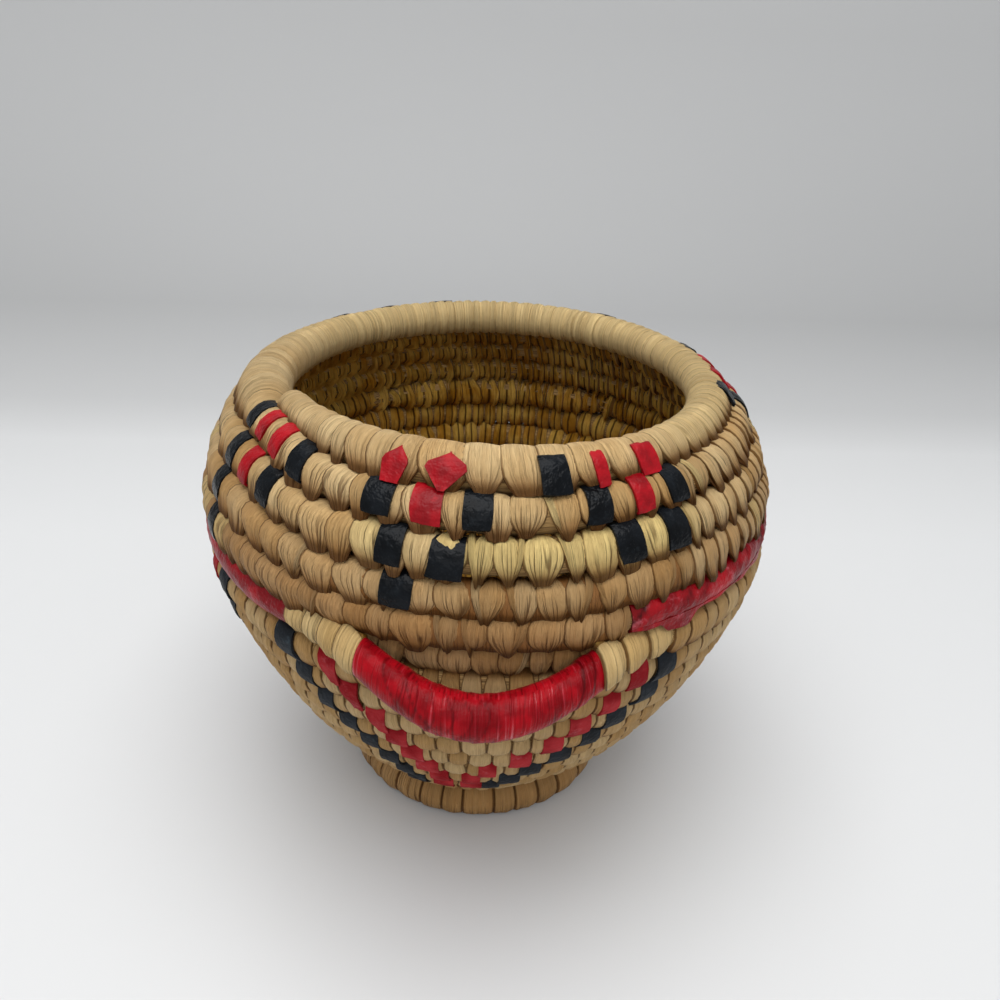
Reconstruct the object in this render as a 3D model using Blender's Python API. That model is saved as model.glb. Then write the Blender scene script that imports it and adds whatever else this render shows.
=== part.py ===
"""Coiled grass basket with two looped lug handles.

One bundle of grass is coiled clockwise, seen from above, from a start in the middle
of the flat base, up the wall and round the mouth. Each row is sewn to the row below.
The front of the basket faces -Y, and places along the coil are given in turns: a
whole number of turns is a row at the front, and turn 0 is the row with the handles.
"""
import bisect
import math

import bmesh
import bpy
from mathutils import Vector
from mathutils.bvhtree import BVHTree
from mathutils.geometry import interpolate_bezier

# Wall profile: where the middle of the coil runs, in metres. The lowest rows lie on a
# cone, from the base edge to the bowl, and the wall is one curve from there to the mouth
BASE_EDGE_RADIUS = 0.0377
BASE_HEIGHT = 0.0163
BOWL_RADIUS = 0.0488
BOWL_HEIGHT = 0.0295
BELLY_RADIUS = 0.0776
BELLY_HEIGHT = 0.0972
MOUTH_RADIUS = 0.0588
MOUTH_HEIGHT = 0.1353
BOWL_FLARE = math.radians(38.4)
MOUTH_TURN_IN = math.radians(55.4)
PROFILE_FULLNESS = (0.34, 0.20, 0.35, 0.40)
PROFILE_STEPS = (120, 80)
BACK_SAG = 0.0035

# The coil
ROWS_BELOW_HANDLES = 10
ROWS_ABOVE_HANDLES = 5
RIM_OVERLAP_TURNS = 0.18
PITCH_GROWTH = 1.117
COIL_GAP = 0.00075
END_SET_IN = 0.75
END_SPACING = 0.3
TANGENT_STEP = 0.001
WELD = 0.000001
SEAT_GAP = 0.0003
BASE_START_RADIUS = 0.0032
BASE_EDGE_STEP = 0.0012
BASE_START_THINNING = 0.60
BASE_THINNING_TURNS = 0.75
POINTS_PER_TURN = 24
RIM_SWELL = 0.0018
RIM_SWELL_TURNS = 0.22
RIM_TAIL_TURNS = 0.20
RIM_TAIL_THINNING = 0.80
LEAN_HELD_TURNS = 0.3

# The foot ring
FOOT_RING_RADIUS = 0.0358
FOOT_FLAT_DEPTH = 0.0005
FOOT_SPLICE_GAP = 0.0006

# The handle loops
LOOP_HALF_TURN = 0.1
GUT_HALF_TURN = 0.0542
HANDLE_REACH = 0.0148
HANDLE_DROP = 0.0060
HANDLE_DROP_POWER = 2.2
HANDLE_DIAMETER = 0.0112
HANDLE_STEPS_PER_TURN = 96
GUT_THICKNESS = 0.0010
FILLER_HALF_TURN = 0.06
FILLER_SET_IN = 0.0026
FILLER_SHARE = 0.91
FILLER_END_SHARE = 0.38

# The gut sleeves at the sides
RIGHT_SLEEVE_END = 0.928
SLEEVE_RISE = 0.0015

# The gut patches of the upper pattern
PATCH_GAP = 0.0004
PATCH_THICKNESS = 0.0004
PATCH_COVER = 0.80
PATCH_WIDTH = 0.0068

# The upper pattern: for each figure, the row above the handles, then degrees round to the
# left of the front for each patch, then the patches' colours
PATTERN = {
    "front_left": ((5, (20.7, 9.1), "RR"), (4, (20.4, 11.0, 1.5), "KRK"),
                   (3, (16.5, 7.1), "KK"), (2, (14.4,), "K")),
    "front_right": ((5, (-14.4, -23.9, -35.3), "KRR"), (4, (-21.3, -30.4, -37.8), "KRK"),
                    (3, (-26.0, -36.0), "KK")),
    "left": ((4, (60.5, 54.0, 47.5, 40.0), "KRRK"), (3, (59.5, 52.3, 44.9), "KRK"),
             (2, (61.0,), "K"), (1, (60.0,), "K")),
    "right": ((4, (276.0, 265.5, 256.5, 246.5), "KRRK"), (3, (270.0, 262.0, 254.0), "KRK")),
    "back": ((4, (132.5, 147.5, 164.5, 214.5), "KKKK"),),
}

SIXTH = math.radians(60)
HEXAGON_FLAT = math.cos(SIXTH / 2.0)

BASE_TURN = -ROWS_BELOW_HANDLES
MOUTH_TURN = ROWS_ABOVE_HANDLES
RIM_START = MOUTH_TURN - 1 + RIM_OVERLAP_TURNS
RIM_END = MOUTH_TURN + RIM_OVERLAP_TURNS

# Finishes: colour, then roughness
GRASS = ((0.62, 0.43, 0.22), 0.75)
DARK_GRASS = ((0.34, 0.21, 0.10), 0.85)
RED_GUT = ((0.55, 0.01, 0.02), 0.35)
BLACK_GUT = ((0.01, 0.013, 0.02), 0.4)


def clear_scene():
    for item in list(bpy.data.objects):
        bpy.data.objects.remove(item)


def make_material(name, finish):
    """Give a sub-part its own material in one of the basket's four finishes."""
    colour, roughness = finish
    material = bpy.data.materials.new(name)
    material.use_nodes = True
    shader = material.node_tree.nodes["Principled BSDF"]
    shader.inputs["Base Color"].default_value = (*colour, 1.0)
    shader.inputs["Roughness"].default_value = roughness
    shader.inputs["Metallic"].default_value = 0.0
    return material


def add_mesh(name, shape):
    """Put a finished bmesh into the scene as an object."""
    mesh = bpy.data.meshes.new(name)
    shape.to_mesh(mesh)
    shape.free()
    mesh_object = bpy.data.objects.new(name, mesh)
    bpy.context.scene.collection.objects.link(mesh_object)
    return mesh_object


def wall_profile():
    """Radius and height up the wall as a fine chain of points, base edge to mouth."""
    edge = Vector((BASE_EDGE_RADIUS, BASE_HEIGHT, 0.0))
    bowl = Vector((BOWL_RADIUS, BOWL_HEIGHT, 0.0))
    belly = Vector((BELLY_RADIUS, BELLY_HEIGHT, 0.0))
    mouth = Vector((MOUTH_RADIUS, MOUTH_HEIGHT, 0.0))
    up = Vector((0.0, 1.0, 0.0))
    flare = Vector((math.sin(BOWL_FLARE), math.cos(BOWL_FLARE), 0.0))
    turn_in = Vector((-math.sin(MOUTH_TURN_IN), math.cos(MOUTH_TURN_IN), 0.0))
    lower = (belly - bowl).length
    upper = (mouth - belly).length
    near_bowl, below_belly, above_belly, near_mouth = PROFILE_FULLNESS
    lower_steps, upper_steps = PROFILE_STEPS
    chain = [edge]
    chain += interpolate_bezier(bowl, bowl + flare * lower * near_bowl,
                                belly - up * lower * below_belly, belly, lower_steps)
    chain += interpolate_bezier(belly, belly + up * upper * above_belly,
                                mouth - turn_in * upper * near_mouth, mouth, upper_steps)[1:]
    return chain


PROFILE = wall_profile()


def profile_lengths():
    lengths = [0.0]
    for before, after in zip(PROFILE, PROFILE[1:]):
        lengths.append(lengths[-1] + (after - before).length)
    return lengths


LENGTHS = profile_lengths()
WALL_ROWS = ROWS_BELOW_HANDLES + ROWS_ABOVE_HANDLES
BASE_PITCH = 2.0 * LENGTHS[-1] / (WALL_ROWS * (1.0 + PITCH_GROWTH))
PITCH_STEP = BASE_PITCH * (PITCH_GROWTH - 1.0) / WALL_ROWS
BASE_START = BASE_TURN - (BASE_EDGE_RADIUS - BASE_EDGE_STEP - BASE_START_RADIUS) / BASE_PITCH


def ease(share):
    """Smooth step from 0 to 1."""
    share = min(max(share, 0.0), 1.0)
    return share * share * (3.0 - 2.0 * share)


def on_profile(length):
    """Radius and height at a length up the wall. It runs straight on past the mouth."""
    index = min(max(bisect.bisect_left(LENGTHS, length), 1), len(LENGTHS) - 1)
    share = (length - LENGTHS[index - 1]) / (LENGTHS[index] - LENGTHS[index - 1])
    place = PROFILE[index - 1].lerp(PROFILE[index], share)
    return place.x, place.y


def coil_section(turn):
    """Radius and height of the middle of the plain coil at a turn."""
    rise = turn - BASE_TURN
    if rise <= 0.0:
        step_in = BASE_EDGE_STEP * ease(-2.0 * rise)
        return BASE_EDGE_RADIUS + rise * BASE_PITCH - step_in, BASE_HEIGHT
    radius, height = on_profile(BASE_PITCH * rise + PITCH_STEP * rise * rise / 2.0)
    behind = (1.0 - math.cos(2.0 * math.pi * turn)) / 2.0
    return radius, height - BACK_SAG * behind * height / MOUTH_HEIGHT


def coil_lean(turn):
    """Angle from upright to the line that joins a row to the rows beside it.

    The flat base keeps the lean of the first wall row, and the rim that of the row
    which it ends on.
    """
    middle = min(max(turn, BASE_TURN + 0.5), MOUTH_TURN - LEAN_HELD_TURNS)
    lower_radius, lower_height = coil_section(middle - 0.5)
    upper_radius, upper_height = coil_section(middle + 0.5)
    return math.atan2(upper_radius - lower_radius, upper_height - lower_height)


def coil_radius(turn):
    """Size of the coil from its middle to a corner, so that rows stay a gap apart."""
    radius, height = coil_section(turn)
    sizes = []
    for beside in (turn - 1.0, turn + 1.0):
        beside_radius, beside_height = coil_section(beside)
        across, up = beside_radius - radius, beside_height - height
        off_flat = (math.atan2(across, up) - coil_lean(turn)) % SIXTH
        off_corner = SIXTH / 2.0 - min(off_flat, SIXTH - off_flat)
        sizes.append((math.hypot(across, up) - COIL_GAP) / (2.0 * math.cos(off_corner)))
    return min(sizes)


def rim_swell(turn):
    """Extra size at the start of the rim coil, where the coil's end is sewn in beside it."""
    return RIM_SWELL * (1.0 - ease((turn - RIM_START) / RIM_SWELL_TURNS))


def rim_tail(turn):
    """Share of the full size that the rim coil keeps towards its blunt end."""
    return 1.0 - (1.0 - RIM_TAIL_THINNING) * ease((turn - RIM_END + RIM_TAIL_TURNS) / RIM_TAIL_TURNS)


def in_space(turn, radius, height):
    """World place at a turn: the front is -Y and the coil climbs towards -X."""
    angle = 2.0 * math.pi * turn
    return Vector((-radius * math.sin(angle), -radius * math.cos(angle), height))


def coil_place(turn):
    radius, height = coil_section(turn)
    return in_space(turn, radius, height)


def rim_radius(turn):
    return coil_radius(turn) * rim_tail(turn) + rim_swell(turn)


def rim_place(turn):
    """Middle of the rim coil, moved along the lean so that its lower side keeps its seat."""
    radius, height = coil_section(turn)
    shift = (rim_radius(turn) - coil_radius(turn)) * HEXAGON_FLAT
    lean = coil_lean(turn)
    return in_space(turn, radius + shift * math.sin(lean), height + shift * math.cos(lean))


def loop_share(turn, centre):
    """How far a handle loop stands off the wall, from 0 at its ends to 1 in its middle."""
    across = (turn - centre) / LOOP_HALF_TURN
    if abs(across) >= 1.0:
        return 0.0
    return math.cos(math.pi * across / 2.0) ** 2


def loop_place(turn, centre):
    share = loop_share(turn, centre)
    radius, height = coil_section(turn)
    return in_space(turn, radius + HANDLE_REACH * share, height - HANDLE_DROP * share ** HANDLE_DROP_POWER)


def loop_radius(turn, centre):
    share = loop_share(turn, centre)
    plain = coil_radius(turn)
    return plain + (HANDLE_DIAMETER / 2.0 - plain) * share


def core_radius(wrapped):
    """Size of the bundle inside a gut wrap whose outer size is given."""
    return wrapped - (GUT_THICKNESS + SEAT_GAP) / HEXAGON_FLAT


def filler_place(turn):
    radius, height = coil_section(turn)
    return in_space(turn, radius - FILLER_SET_IN, height)


def filler_radius(turn, centre):
    full = coil_radius(turn) * FILLER_SHARE
    edge = FILLER_HALF_TURN - abs(turn - centre)
    run_out = turns_for(2.0 * full, turn)
    return full * (FILLER_END_SHARE + (1.0 - FILLER_END_SHARE) * ease(edge / run_out))


def turns_for(length, turn):
    """Share of a turn that a length takes up along the coil."""
    return length / (2.0 * math.pi * coil_section(turn)[0])


def tangent(place, turn):
    return (place(turn + TANGENT_STEP) - place(turn - TANGENT_STEP)).normalized()


def end_run(place, turn, length):
    """Both ends of a straight run from a turn, set in by a share of what it strays."""
    spot = place(turn)
    across = Vector((spot.x, spot.y, 0.0))
    spot -= across.normalized() * END_SET_IN * length ** 2 / (2.0 * across.length)
    return spot, spot + tangent(place, turn) * length


def stations(place, radius, start, end, steps, straight_start=True):
    """Turns and places along a tube: even steps, with a straight run at each end.

    Each end run is one tube diameter long and square to what the end meets.
    """
    rows = [(start, place(start))]
    first_free = start
    if straight_start:
        spot, along = end_run(place, start, 2.0 * radius(start))
        first_free += turns_for(2.0 * radius(start), start)
        rows = [(start, spot), (first_free, along)]
    spot, along = end_run(place, end, -2.0 * radius(end))
    last_free = end - turns_for(2.0 * radius(end), end)
    first = math.ceil(first_free * steps + END_SPACING)
    last = math.floor(last_free * steps - END_SPACING)
    rows += [(index / steps, place(index / steps)) for index in range(first, last + 1)]
    return rows + [(last_free, along), (end, spot)]


def tube(name, finish, rows, radius, capped=True, wall=0.0):
    """A six-sided tube along the rows, its flats turned to the rows above and below."""
    curve = bpy.data.curves.new(name, "CURVE")
    curve.dimensions = "3D"
    curve.bevel_depth = 1.0
    curve.bevel_resolution = 1
    curve.use_fill_caps = capped
    curve.twist_mode = "Z_UP"
    spline = curve.splines.new("POLY")
    spline.points.add(len(rows) - 1)
    for point, (turn, place) in zip(spline.points, rows):
        point.co = (*place, 1.0)
        point.radius = radius(turn)
        point.tilt = -coil_lean(turn)
    tube_object = bpy.data.objects.new(name, curve)
    bpy.context.scene.collection.objects.link(tube_object)
    curve.materials.append(make_material(name, finish))
    if wall:
        shell = tube_object.modifiers.new("Gut thickness", "SOLIDIFY")
        shell.thickness = wall
        shell.offset = -1.0
        shell.use_even_offset = True
    return tube_object


def least_gap(tube_object, sides=6):
    """Least distance between turns of one coil, measured on points of its surface."""
    tube_object.data.use_fill_caps = False
    depsgraph = bpy.context.evaluated_depsgraph_get()
    corners_in_order = [vertex.co.copy() for vertex in tube_object.evaluated_get(depsgraph).to_mesh().vertices]
    tube_object.data.use_fill_caps = True
    ring_count = len(corners_in_order) // sides
    rings = [corners_in_order[ring * sides:(ring + 1) * sides] for ring in range(ring_count)]
    half_turn = POINTS_PER_TURN // 2
    smallest = math.inf
    for first in range(0, ring_count - half_turn, half_turn):
        block = rings[first:first + half_turn + 1]
        others = rings[first + 2 * half_turn - 4:]
        if len(others) < 2:
            break
        corners = [corner for ring in others for corner in ring]
        faces = []
        for ring in range(len(others) - 1):
            for side in range(sides):
                beside = (side + 1) % sides
                faces.append((ring * sides + side, ring * sides + beside,
                              (ring + 1) * sides + beside, (ring + 1) * sides + side))
        tree = BVHTree.FromPolygons(corners, faces)
        for near, far in zip(block, block[1:]):
            for side in range(sides):
                beside = (side + 1) % sides
                for spot in (near[side], (near[side] + far[side]) / 2.0, (near[side] + near[beside]) / 2.0):
                    smallest = min(smallest, tree.find_nearest(spot)[3])
    return smallest


def print_gap(tube_object):
    print("%s: least gap between its turns %.2f mm" % (tube_object.name, least_gap(tube_object) * 1000.0))


def coil(name, finish, place, radius, start, end, steps=POINTS_PER_TURN, straight_start=True):
    """One unbroken stretch of coil. The gap between its own turns is measured and printed."""
    rows = stations(place, radius, start, end, steps, straight_start)
    tube_object = tube(name, finish, rows, radius)
    if end - start > 1.5:
        print_gap(tube_object)
    return tube_object


def seat(turn):
    """Half of the gap between two ends that meet, in turns."""
    return turns_for(SEAT_GAP / 2.0, turn)


def make_foot_ring():
    """The coil under the base that the basket stands on, cut flat where it rests."""
    base_underside = BASE_HEIGHT - coil_radius(BASE_TURN)
    top = base_underside - SEAT_GAP
    tube_radius = (top + FOOT_FLAT_DEPTH) / (2.0 * HEXAGON_FLAT)
    centre_height = top - tube_radius * HEXAGON_FLAT

    def place(turn):
        return in_space(turn, FOOT_RING_RADIUS, centre_height)

    def radius(turn):
        return tube_radius

    splice = FOOT_SPLICE_GAP / 2.0 / (2.0 * math.pi * FOOT_RING_RADIUS)
    curve_rows = stations(place, radius, 0.5 + splice, 1.5 - splice, POINTS_PER_TURN)
    ring_curve = tube("foot_ring_curve", GRASS, curve_rows, radius)
    for point in ring_curve.data.splines[0].points:
        point.tilt = 0.0
    shape = bmesh.new()
    shape.from_mesh(ring_curve.evaluated_get(bpy.context.evaluated_depsgraph_get()).to_mesh())
    bmesh.ops.remove_doubles(shape, verts=shape.verts, dist=WELD)
    bpy.data.objects.remove(ring_curve)
    everything = shape.verts[:] + shape.edges[:] + shape.faces[:]
    bmesh.ops.bisect_plane(shape, geom=everything, plane_co=(0.0, 0.0, 0.0), plane_no=(0.0, 0.0, 1.0),
                           clear_inner=True)
    bmesh.ops.holes_fill(shape, edges=[edge for edge in shape.edges if edge.is_boundary])
    bmesh.ops.recalc_face_normals(shape, faces=shape.faces)
    ring = add_mesh("foot_ring_coil", shape)
    ring.data.materials.append(make_material("foot_ring_coil", GRASS))


def base_radius(turn):
    grown = ease((turn - BASE_START) / BASE_THINNING_TURNS)
    return coil_radius(turn) * (BASE_START_THINNING + (1.0 - BASE_START_THINNING) * grown)


def make_base():
    coil("base_coil", GRASS, coil_place, base_radius, BASE_START, BASE_TURN - seat(BASE_TURN),
         straight_start=False)


def make_lower_wall():
    loop_start = -LOOP_HALF_TURN
    coil("lower_wall_coil", GRASS, coil_place, coil_radius,
         BASE_TURN + seat(BASE_TURN), loop_start - seat(loop_start))


def make_handle(side, centre):
    """A loop of the coil that leaves the wall, with the coil behind it filled in."""
    def place(turn):
        return loop_place(turn, centre)

    def radius(turn):
        return loop_radius(turn, centre)

    def bundle_radius(turn):
        return core_radius(loop_radius(turn, centre))

    starts = centre - LOOP_HALF_TURN, centre - GUT_HALF_TURN
    ends = centre + GUT_HALF_TURN, centre + LOOP_HALF_TURN
    for part, (first, last) in (("start", starts), ("end", ends)):
        coil(side + "_handle_" + part + "_binding", GRASS, place, radius,
             first + seat(first), last - seat(last), HANDLE_STEPS_PER_TURN)
    rows = stations(place, radius, starts[1] + seat(starts[1]), ends[0] - seat(ends[0]),
                    HANDLE_STEPS_PER_TURN)
    tube(side + "_handle_bundle", DARK_GRASS, rows, bundle_radius)
    tube(side + "_handle_gut_wrap", RED_GUT, rows, radius, capped=False, wall=GUT_THICKNESS)

    def behind_radius(turn):
        return filler_radius(turn, centre)

    first = centre - FILLER_HALF_TURN
    last = centre + FILLER_HALF_TURN
    coil(side + "_filler_coil", GRASS, filler_place, behind_radius, first, last, HANDLE_STEPS_PER_TURN)


def sleeved(turn):
    return core_radius(coil_radius(turn))


def make_left_side():
    """The stretch of coil between the handles on the left, wholly under its gut sleeve."""
    start = LOOP_HALF_TURN + seat(0.0)
    end = 0.5 - LOOP_HALF_TURN - seat(0.0)
    rows = stations(coil_place, coil_radius, start, end, POINTS_PER_TURN)
    tube("left_side_bundle", DARK_GRASS, rows, sleeved)
    tube("left_gut_sleeve", RED_GUT, rows, coil_radius, capped=False, wall=GUT_THICKNESS)


def make_upper_wall():
    """The wall above the handles. Its first stretch runs thinner, inside the right sleeve."""
    start = 0.5 + LOOP_HALF_TURN + seat(0.0)
    end = RIM_START - seat(RIM_START)
    clear = RIGHT_SLEEVE_END + 2.0 * seat(0.0)
    rise = turns_for(SLEEVE_RISE, clear)

    def radius(turn):
        grown = min(max((turn - clear) / rise, 0.0), 1.0)
        return sleeved(turn) + (coil_radius(turn) - sleeved(turn)) * grown

    rows = stations(coil_place, coil_radius, start, end, POINTS_PER_TURN)
    rows += [(turn, coil_place(turn)) for turn in (RIGHT_SLEEVE_END, clear, clear + rise)]
    rows.sort(key=lambda row: row[0])
    print_gap(tube("upper_wall_coil", GRASS, rows, radius))
    sleeve_rows = [row for row in rows if row[0] <= RIGHT_SLEEVE_END]
    tube("right_gut_sleeve", RED_GUT, sleeve_rows, coil_radius, capped=False, wall=GUT_THICKNESS)


def make_rim():
    """The last turn, round the mouth, which ends bluntly on the row that it started from."""
    coil("rim_coil", GRASS, rim_place, rim_radius, RIM_START + seat(RIM_START), RIM_END)


def make_patch(name, finish, turn, place, radius):
    """A strip of gut folded over the coil's outward side, a seat gap clear of it."""
    half = turns_for(PATCH_WIDTH / 2.0, turn)
    shape = bmesh.new()
    rings = []
    for station in (turn - half, turn + half):
        middle = place(station)
        outward = Vector((middle.x, middle.y, 0.0)).normalized()
        loop = []
        for clearance in (PATCH_GAP, PATCH_GAP + PATCH_THICKNESS):
            reach = radius(station) + clearance / HEXAGON_FLAT
            corners = []
            for corner in (SIXTH, 0.0, -SIXTH):
                angle = corner - coil_lean(station)
                corners.append(outward * math.cos(angle) * reach + Vector((0.0, 0.0, math.sin(angle) * reach)))
            ridge = corners[1]
            points = [middle + ridge.lerp(corner, PATCH_COVER) for corner in corners]
            loop += points if not loop else reversed(points)
        rings.append([shape.verts.new(point) for point in loop])
    first, second = rings
    for index in range(len(first)):
        after = (index + 1) % len(first)
        shape.faces.new((first[index], second[index], second[after], first[after]))
    for ring in (first, second):
        shape.faces.new(ring[:2] + ring[4:])
        shape.faces.new(ring[1:5])
    bmesh.ops.recalc_face_normals(shape, faces=shape.faces)
    patch = add_mesh(name, shape)
    patch.data.materials.append(make_material(name, finish))


def make_pattern():
    finishes = {"R": RED_GUT, "K": BLACK_GUT}
    for figure, rows in PATTERN.items():
        for row, angles, colours in rows:
            for number, (angle, colour) in enumerate(zip(angles, colours), start=1):
                turn = row + angle / 360.0
                on_rim = turn > RIM_START
                make_patch("%s_patch_row%d_%d" % (figure, row, number), finishes[colour], turn,
                           rim_place if on_rim else coil_place, rim_radius if on_rim else coil_radius)


def main():
    clear_scene()
    make_foot_ring()
    make_base()
    make_lower_wall()
    make_handle("front", 0.0)
    make_handle("back", 0.5)
    make_left_side()
    make_upper_wall()
    make_rim()
    make_pattern()


main()
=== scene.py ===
"""Looks of a coiled grass basket with two looped handles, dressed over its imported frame.

The basket is one grass bundle, coiled clockwise from the middle of its base. Flat grass
strands wrap the bundle and bite into the row below. Gut wraps the handle loops, sleeves
the coil between them and makes the patches and stitches of the pattern. Places along the
coil are given in turns: a whole number is at the front, and turn 0 is the handles' row.
"""

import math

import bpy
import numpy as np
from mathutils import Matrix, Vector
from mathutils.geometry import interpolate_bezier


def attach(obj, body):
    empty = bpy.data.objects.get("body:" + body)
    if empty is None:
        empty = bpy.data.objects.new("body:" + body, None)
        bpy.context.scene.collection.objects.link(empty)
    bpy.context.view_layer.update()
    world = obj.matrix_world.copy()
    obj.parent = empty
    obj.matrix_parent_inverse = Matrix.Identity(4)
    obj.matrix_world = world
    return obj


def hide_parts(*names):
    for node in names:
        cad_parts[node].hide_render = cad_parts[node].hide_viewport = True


bl_info = {
    "name": "Coiled Basket Looks",
    "version": (1, 0, 0),
    "blender": (4, 5, 0),
    "location": "View3D > Sidebar > Basket",
    "description": "Sews a coiled grass basket: bundle, strands, gut wraps, sleeves and patches",
    "category": "Object",
}

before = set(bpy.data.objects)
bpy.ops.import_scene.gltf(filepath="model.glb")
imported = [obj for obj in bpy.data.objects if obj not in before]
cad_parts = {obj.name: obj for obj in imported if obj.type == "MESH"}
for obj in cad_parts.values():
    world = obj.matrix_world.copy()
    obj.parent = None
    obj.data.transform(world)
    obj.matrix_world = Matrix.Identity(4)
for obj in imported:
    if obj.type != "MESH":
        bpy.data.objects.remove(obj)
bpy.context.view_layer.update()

# Wall profile of the coil, as in the CAD part
BASE_EDGE_RADIUS = 0.0377
BASE_HEIGHT = 0.0163
BOWL_RADIUS = 0.0488
BOWL_HEIGHT = 0.0295
BELLY_RADIUS = 0.0776
BELLY_HEIGHT = 0.0972
MOUTH_RADIUS = 0.0588
MOUTH_HEIGHT = 0.1353
BOWL_FLARE = math.radians(38.4)
MOUTH_TURN_IN = math.radians(55.4)
# How far the profile's curves keep their direction at each end, as shares of their lengths
NEAR_BOWL = 0.34
BELOW_BELLY = 0.20
ABOVE_BELLY = 0.35
NEAR_MOUTH = 0.40
# Steps of the profile below the belly and above it
LOWER_STEPS = 120
UPPER_STEPS = 80
BACK_SAG = 0.0035
PAST_MOUTH = 0.02

# The coil, as in the CAD part, but the rim's blunt end is rounder
BASE_TURN = -10
MOUTH_TURN = 5
RIM_START = 4.18
RIM_END = 5.18
PITCH_GROWTH = 1.117
BASE_START_RADIUS = 0.0032
BASE_EDGE_STEP = 0.0012
RIM_SWELL = 0.0018
RIM_SWELL_TURNS = 0.22
RIM_RISE_TURNS = 0.03
RIM_TAIL_TURNS = 0.20
RIM_TAIL_THINNING = 0.80
RIM_DOME = 0.006
RIM_END_SIZE = 0.15

# At the front left the rim is fuller and the rows under it lie a little lower: the share by
# place round the front, in turns, and by row
FRONT_SAG = 0.0021
RIM_FULLNESS = 0.0011
SAG_AROUND = ((-0.10, 0.0), (-0.02, 1.0), (0.08, 1.0), (0.16, -0.6), (0.26, 0.0))
SAG_BY_ROW = ((0.4, 0.0), (1.2, 0.55), (2.0, 1.0), (4.2, 1.0), (4.5, 0.0))

# Handles, sleeves and foot, as in the CAD part, but the filler behind a handle runs on further
LOOP_HALF_TURN = 0.1
GUT_HALF_TURN = 0.0542
HANDLE_REACH = 0.0148
HANDLE_DROP = 0.0060
HANDLE_DROP_POWER = 2.2
HANDLE_DIAMETER = 0.0112
FILLER_SET_IN = 0.0026
FILLER_SHOWN = 0.088
FILLER_END = 0.012
FILLER_END_SIZE = 0.55
FILLER_GROWTH = 0.52
RIGHT_SLEEVE_END = 0.928
FOOT_RING_RADIUS = 0.0358
FOOT_FLAT_DEPTH = 0.0005

# The grass bundle inside the strands, in coil sizes. At the base it starts further in than its
# strands, by a part of a turn, so that no hole is left in the middle
BUNDLE_REACH = 0.97
FOOT_BUNDLE_REACH = 0.90
BINDING_CORE_REACH = 0.96
BUNDLE_SIDES = 12
BUNDLE_TUCK = 0.3

# The gut patches above the handles, within a few degrees of the CAD part's: row, degrees left
# of the front, letters of their colours, and widths as shares of a whole patch
PATTERN = {
    "front_left": ((5, (18.9, 8.3), "RR", (0.80, 1.32)), (4, (20.4, 11.0, 1.5), "KRK", (1.0, 1.0, 0.95)),
                   (3, (16.3, 6.3), "KK", (0.86, 1.08)), (2, (14.4,), "K", (1.06,))),
    "front_right": ((5, (-13.3, -23.4, -35.3), "KRR", (0.92, 0.46, 0.78)),
                    (4, (-21.3, -30.9, -39.2), "KRK", (0.84, 0.70, 0.80)),
                    (3, (-26.0, -36.4), "KK", (0.98, 0.90))),
    "left": ((4, (63.0, 56.8, 49.0, 40.5), "KRRK", (0.62, 0.60, 0.72, 0.76)),
             (3, (61.0, 53.4, 45.4), "KRK", (0.68, 0.62, 0.76)), (2, (61.5,), "K", (0.70,)),
             (1, (60.5,), "K", (0.66,))),
    "right": ((4, (276.0, 265.5, 256.5, 246.5), "KRRK", (0.72, 0.62, 0.72, 0.76)),
              (3, (270.0, 262.0, 254.0), "KRK", (0.70, 0.66, 0.76))),
    "back": ((4, (132.5, 147.5, 164.5, 214.5), "KKKK", (0.8, 0.7, 0.8, 0.9)),),
}

# A patch that lies lower than the others, in coil sizes, so that a strand shows over its top
PATCH_DROPS = {"front_left_patch_row3_2": 0.24}

# The zigzag below the handles: row, then degrees left of the front for red and black on the
# left branch and for red and black on the right branch. It is sewn at three places round the wall
ZIGZAG_PLACES = (0.0, 96.0, -124.0)
# Red stitches further left than this, in turns, narrow to a tail
TAILS_FROM = 18.0 / 360.0
ZIGZAG = (
    (-1, 27.7, 37.5, -29.4, -35.8),
    (-2, 24.7, 34.5, -25.5, -34.0),
    (-3, 20.3, 31.5, -20.6, -28.6),
    (-4, 17.0, 28.3, -16.4, -25.0),
    (-5, 14.6, 25.0, -10.3, -19.6),
    (-6, 12.0, 22.0, -3.0, -13.7),
    (-7, 9.8, 19.6, 1.1, -9.3),
    (-8, 9.7, 18.2, 1.2, -4.8),
)

# How a sewn strand runs round the coil: distance outward and upward from the middle in
# coil sizes, then the stage of its way from the coil's crest, 0, down to its tip, 1
SEWN_RUN = (
    (-0.10, 1.00, 0.00), (0.30, 0.98, 0.07), (0.62, 0.83, 0.20), (0.87, 0.56, 0.35), (1.01, 0.20, 0.50),
    (1.04, -0.18, 0.64), (0.97, -0.53, 0.77), (0.86, -0.84, 0.88), (0.78, -1.10, 0.96), (0.68, -1.34, 1.00),
    (0.10, -1.12, 1.00), (-0.44, -0.97, 0.96), (-0.86, -0.60, 0.78), (-1.05, -0.08, 0.56),
    (-0.92, 0.44, 0.32), (-0.50, 0.88, 0.10), (-0.10, 1.00, 0.00),
)
RIM_RUN = (
    (0.10, -1.00, 1.00), (-0.44, -0.95, 0.90), (-0.84, -0.62, 0.66), (-1.03, -0.10, 0.50),
    (-0.92, 0.42, 0.42), (-0.58, 0.84, 0.38), (-0.12, 1.01, 0.36), (0.32, 0.98, 0.36),
    (0.62, 0.83, 0.38), (0.87, 0.56, 0.44), (1.01, 0.20, 0.53), (1.04, -0.18, 0.64),
    (0.97, -0.53, 0.76), (0.87, -0.84, 0.88), (0.78, -1.10, 0.96), (0.68, -1.30, 1.00),
)
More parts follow.
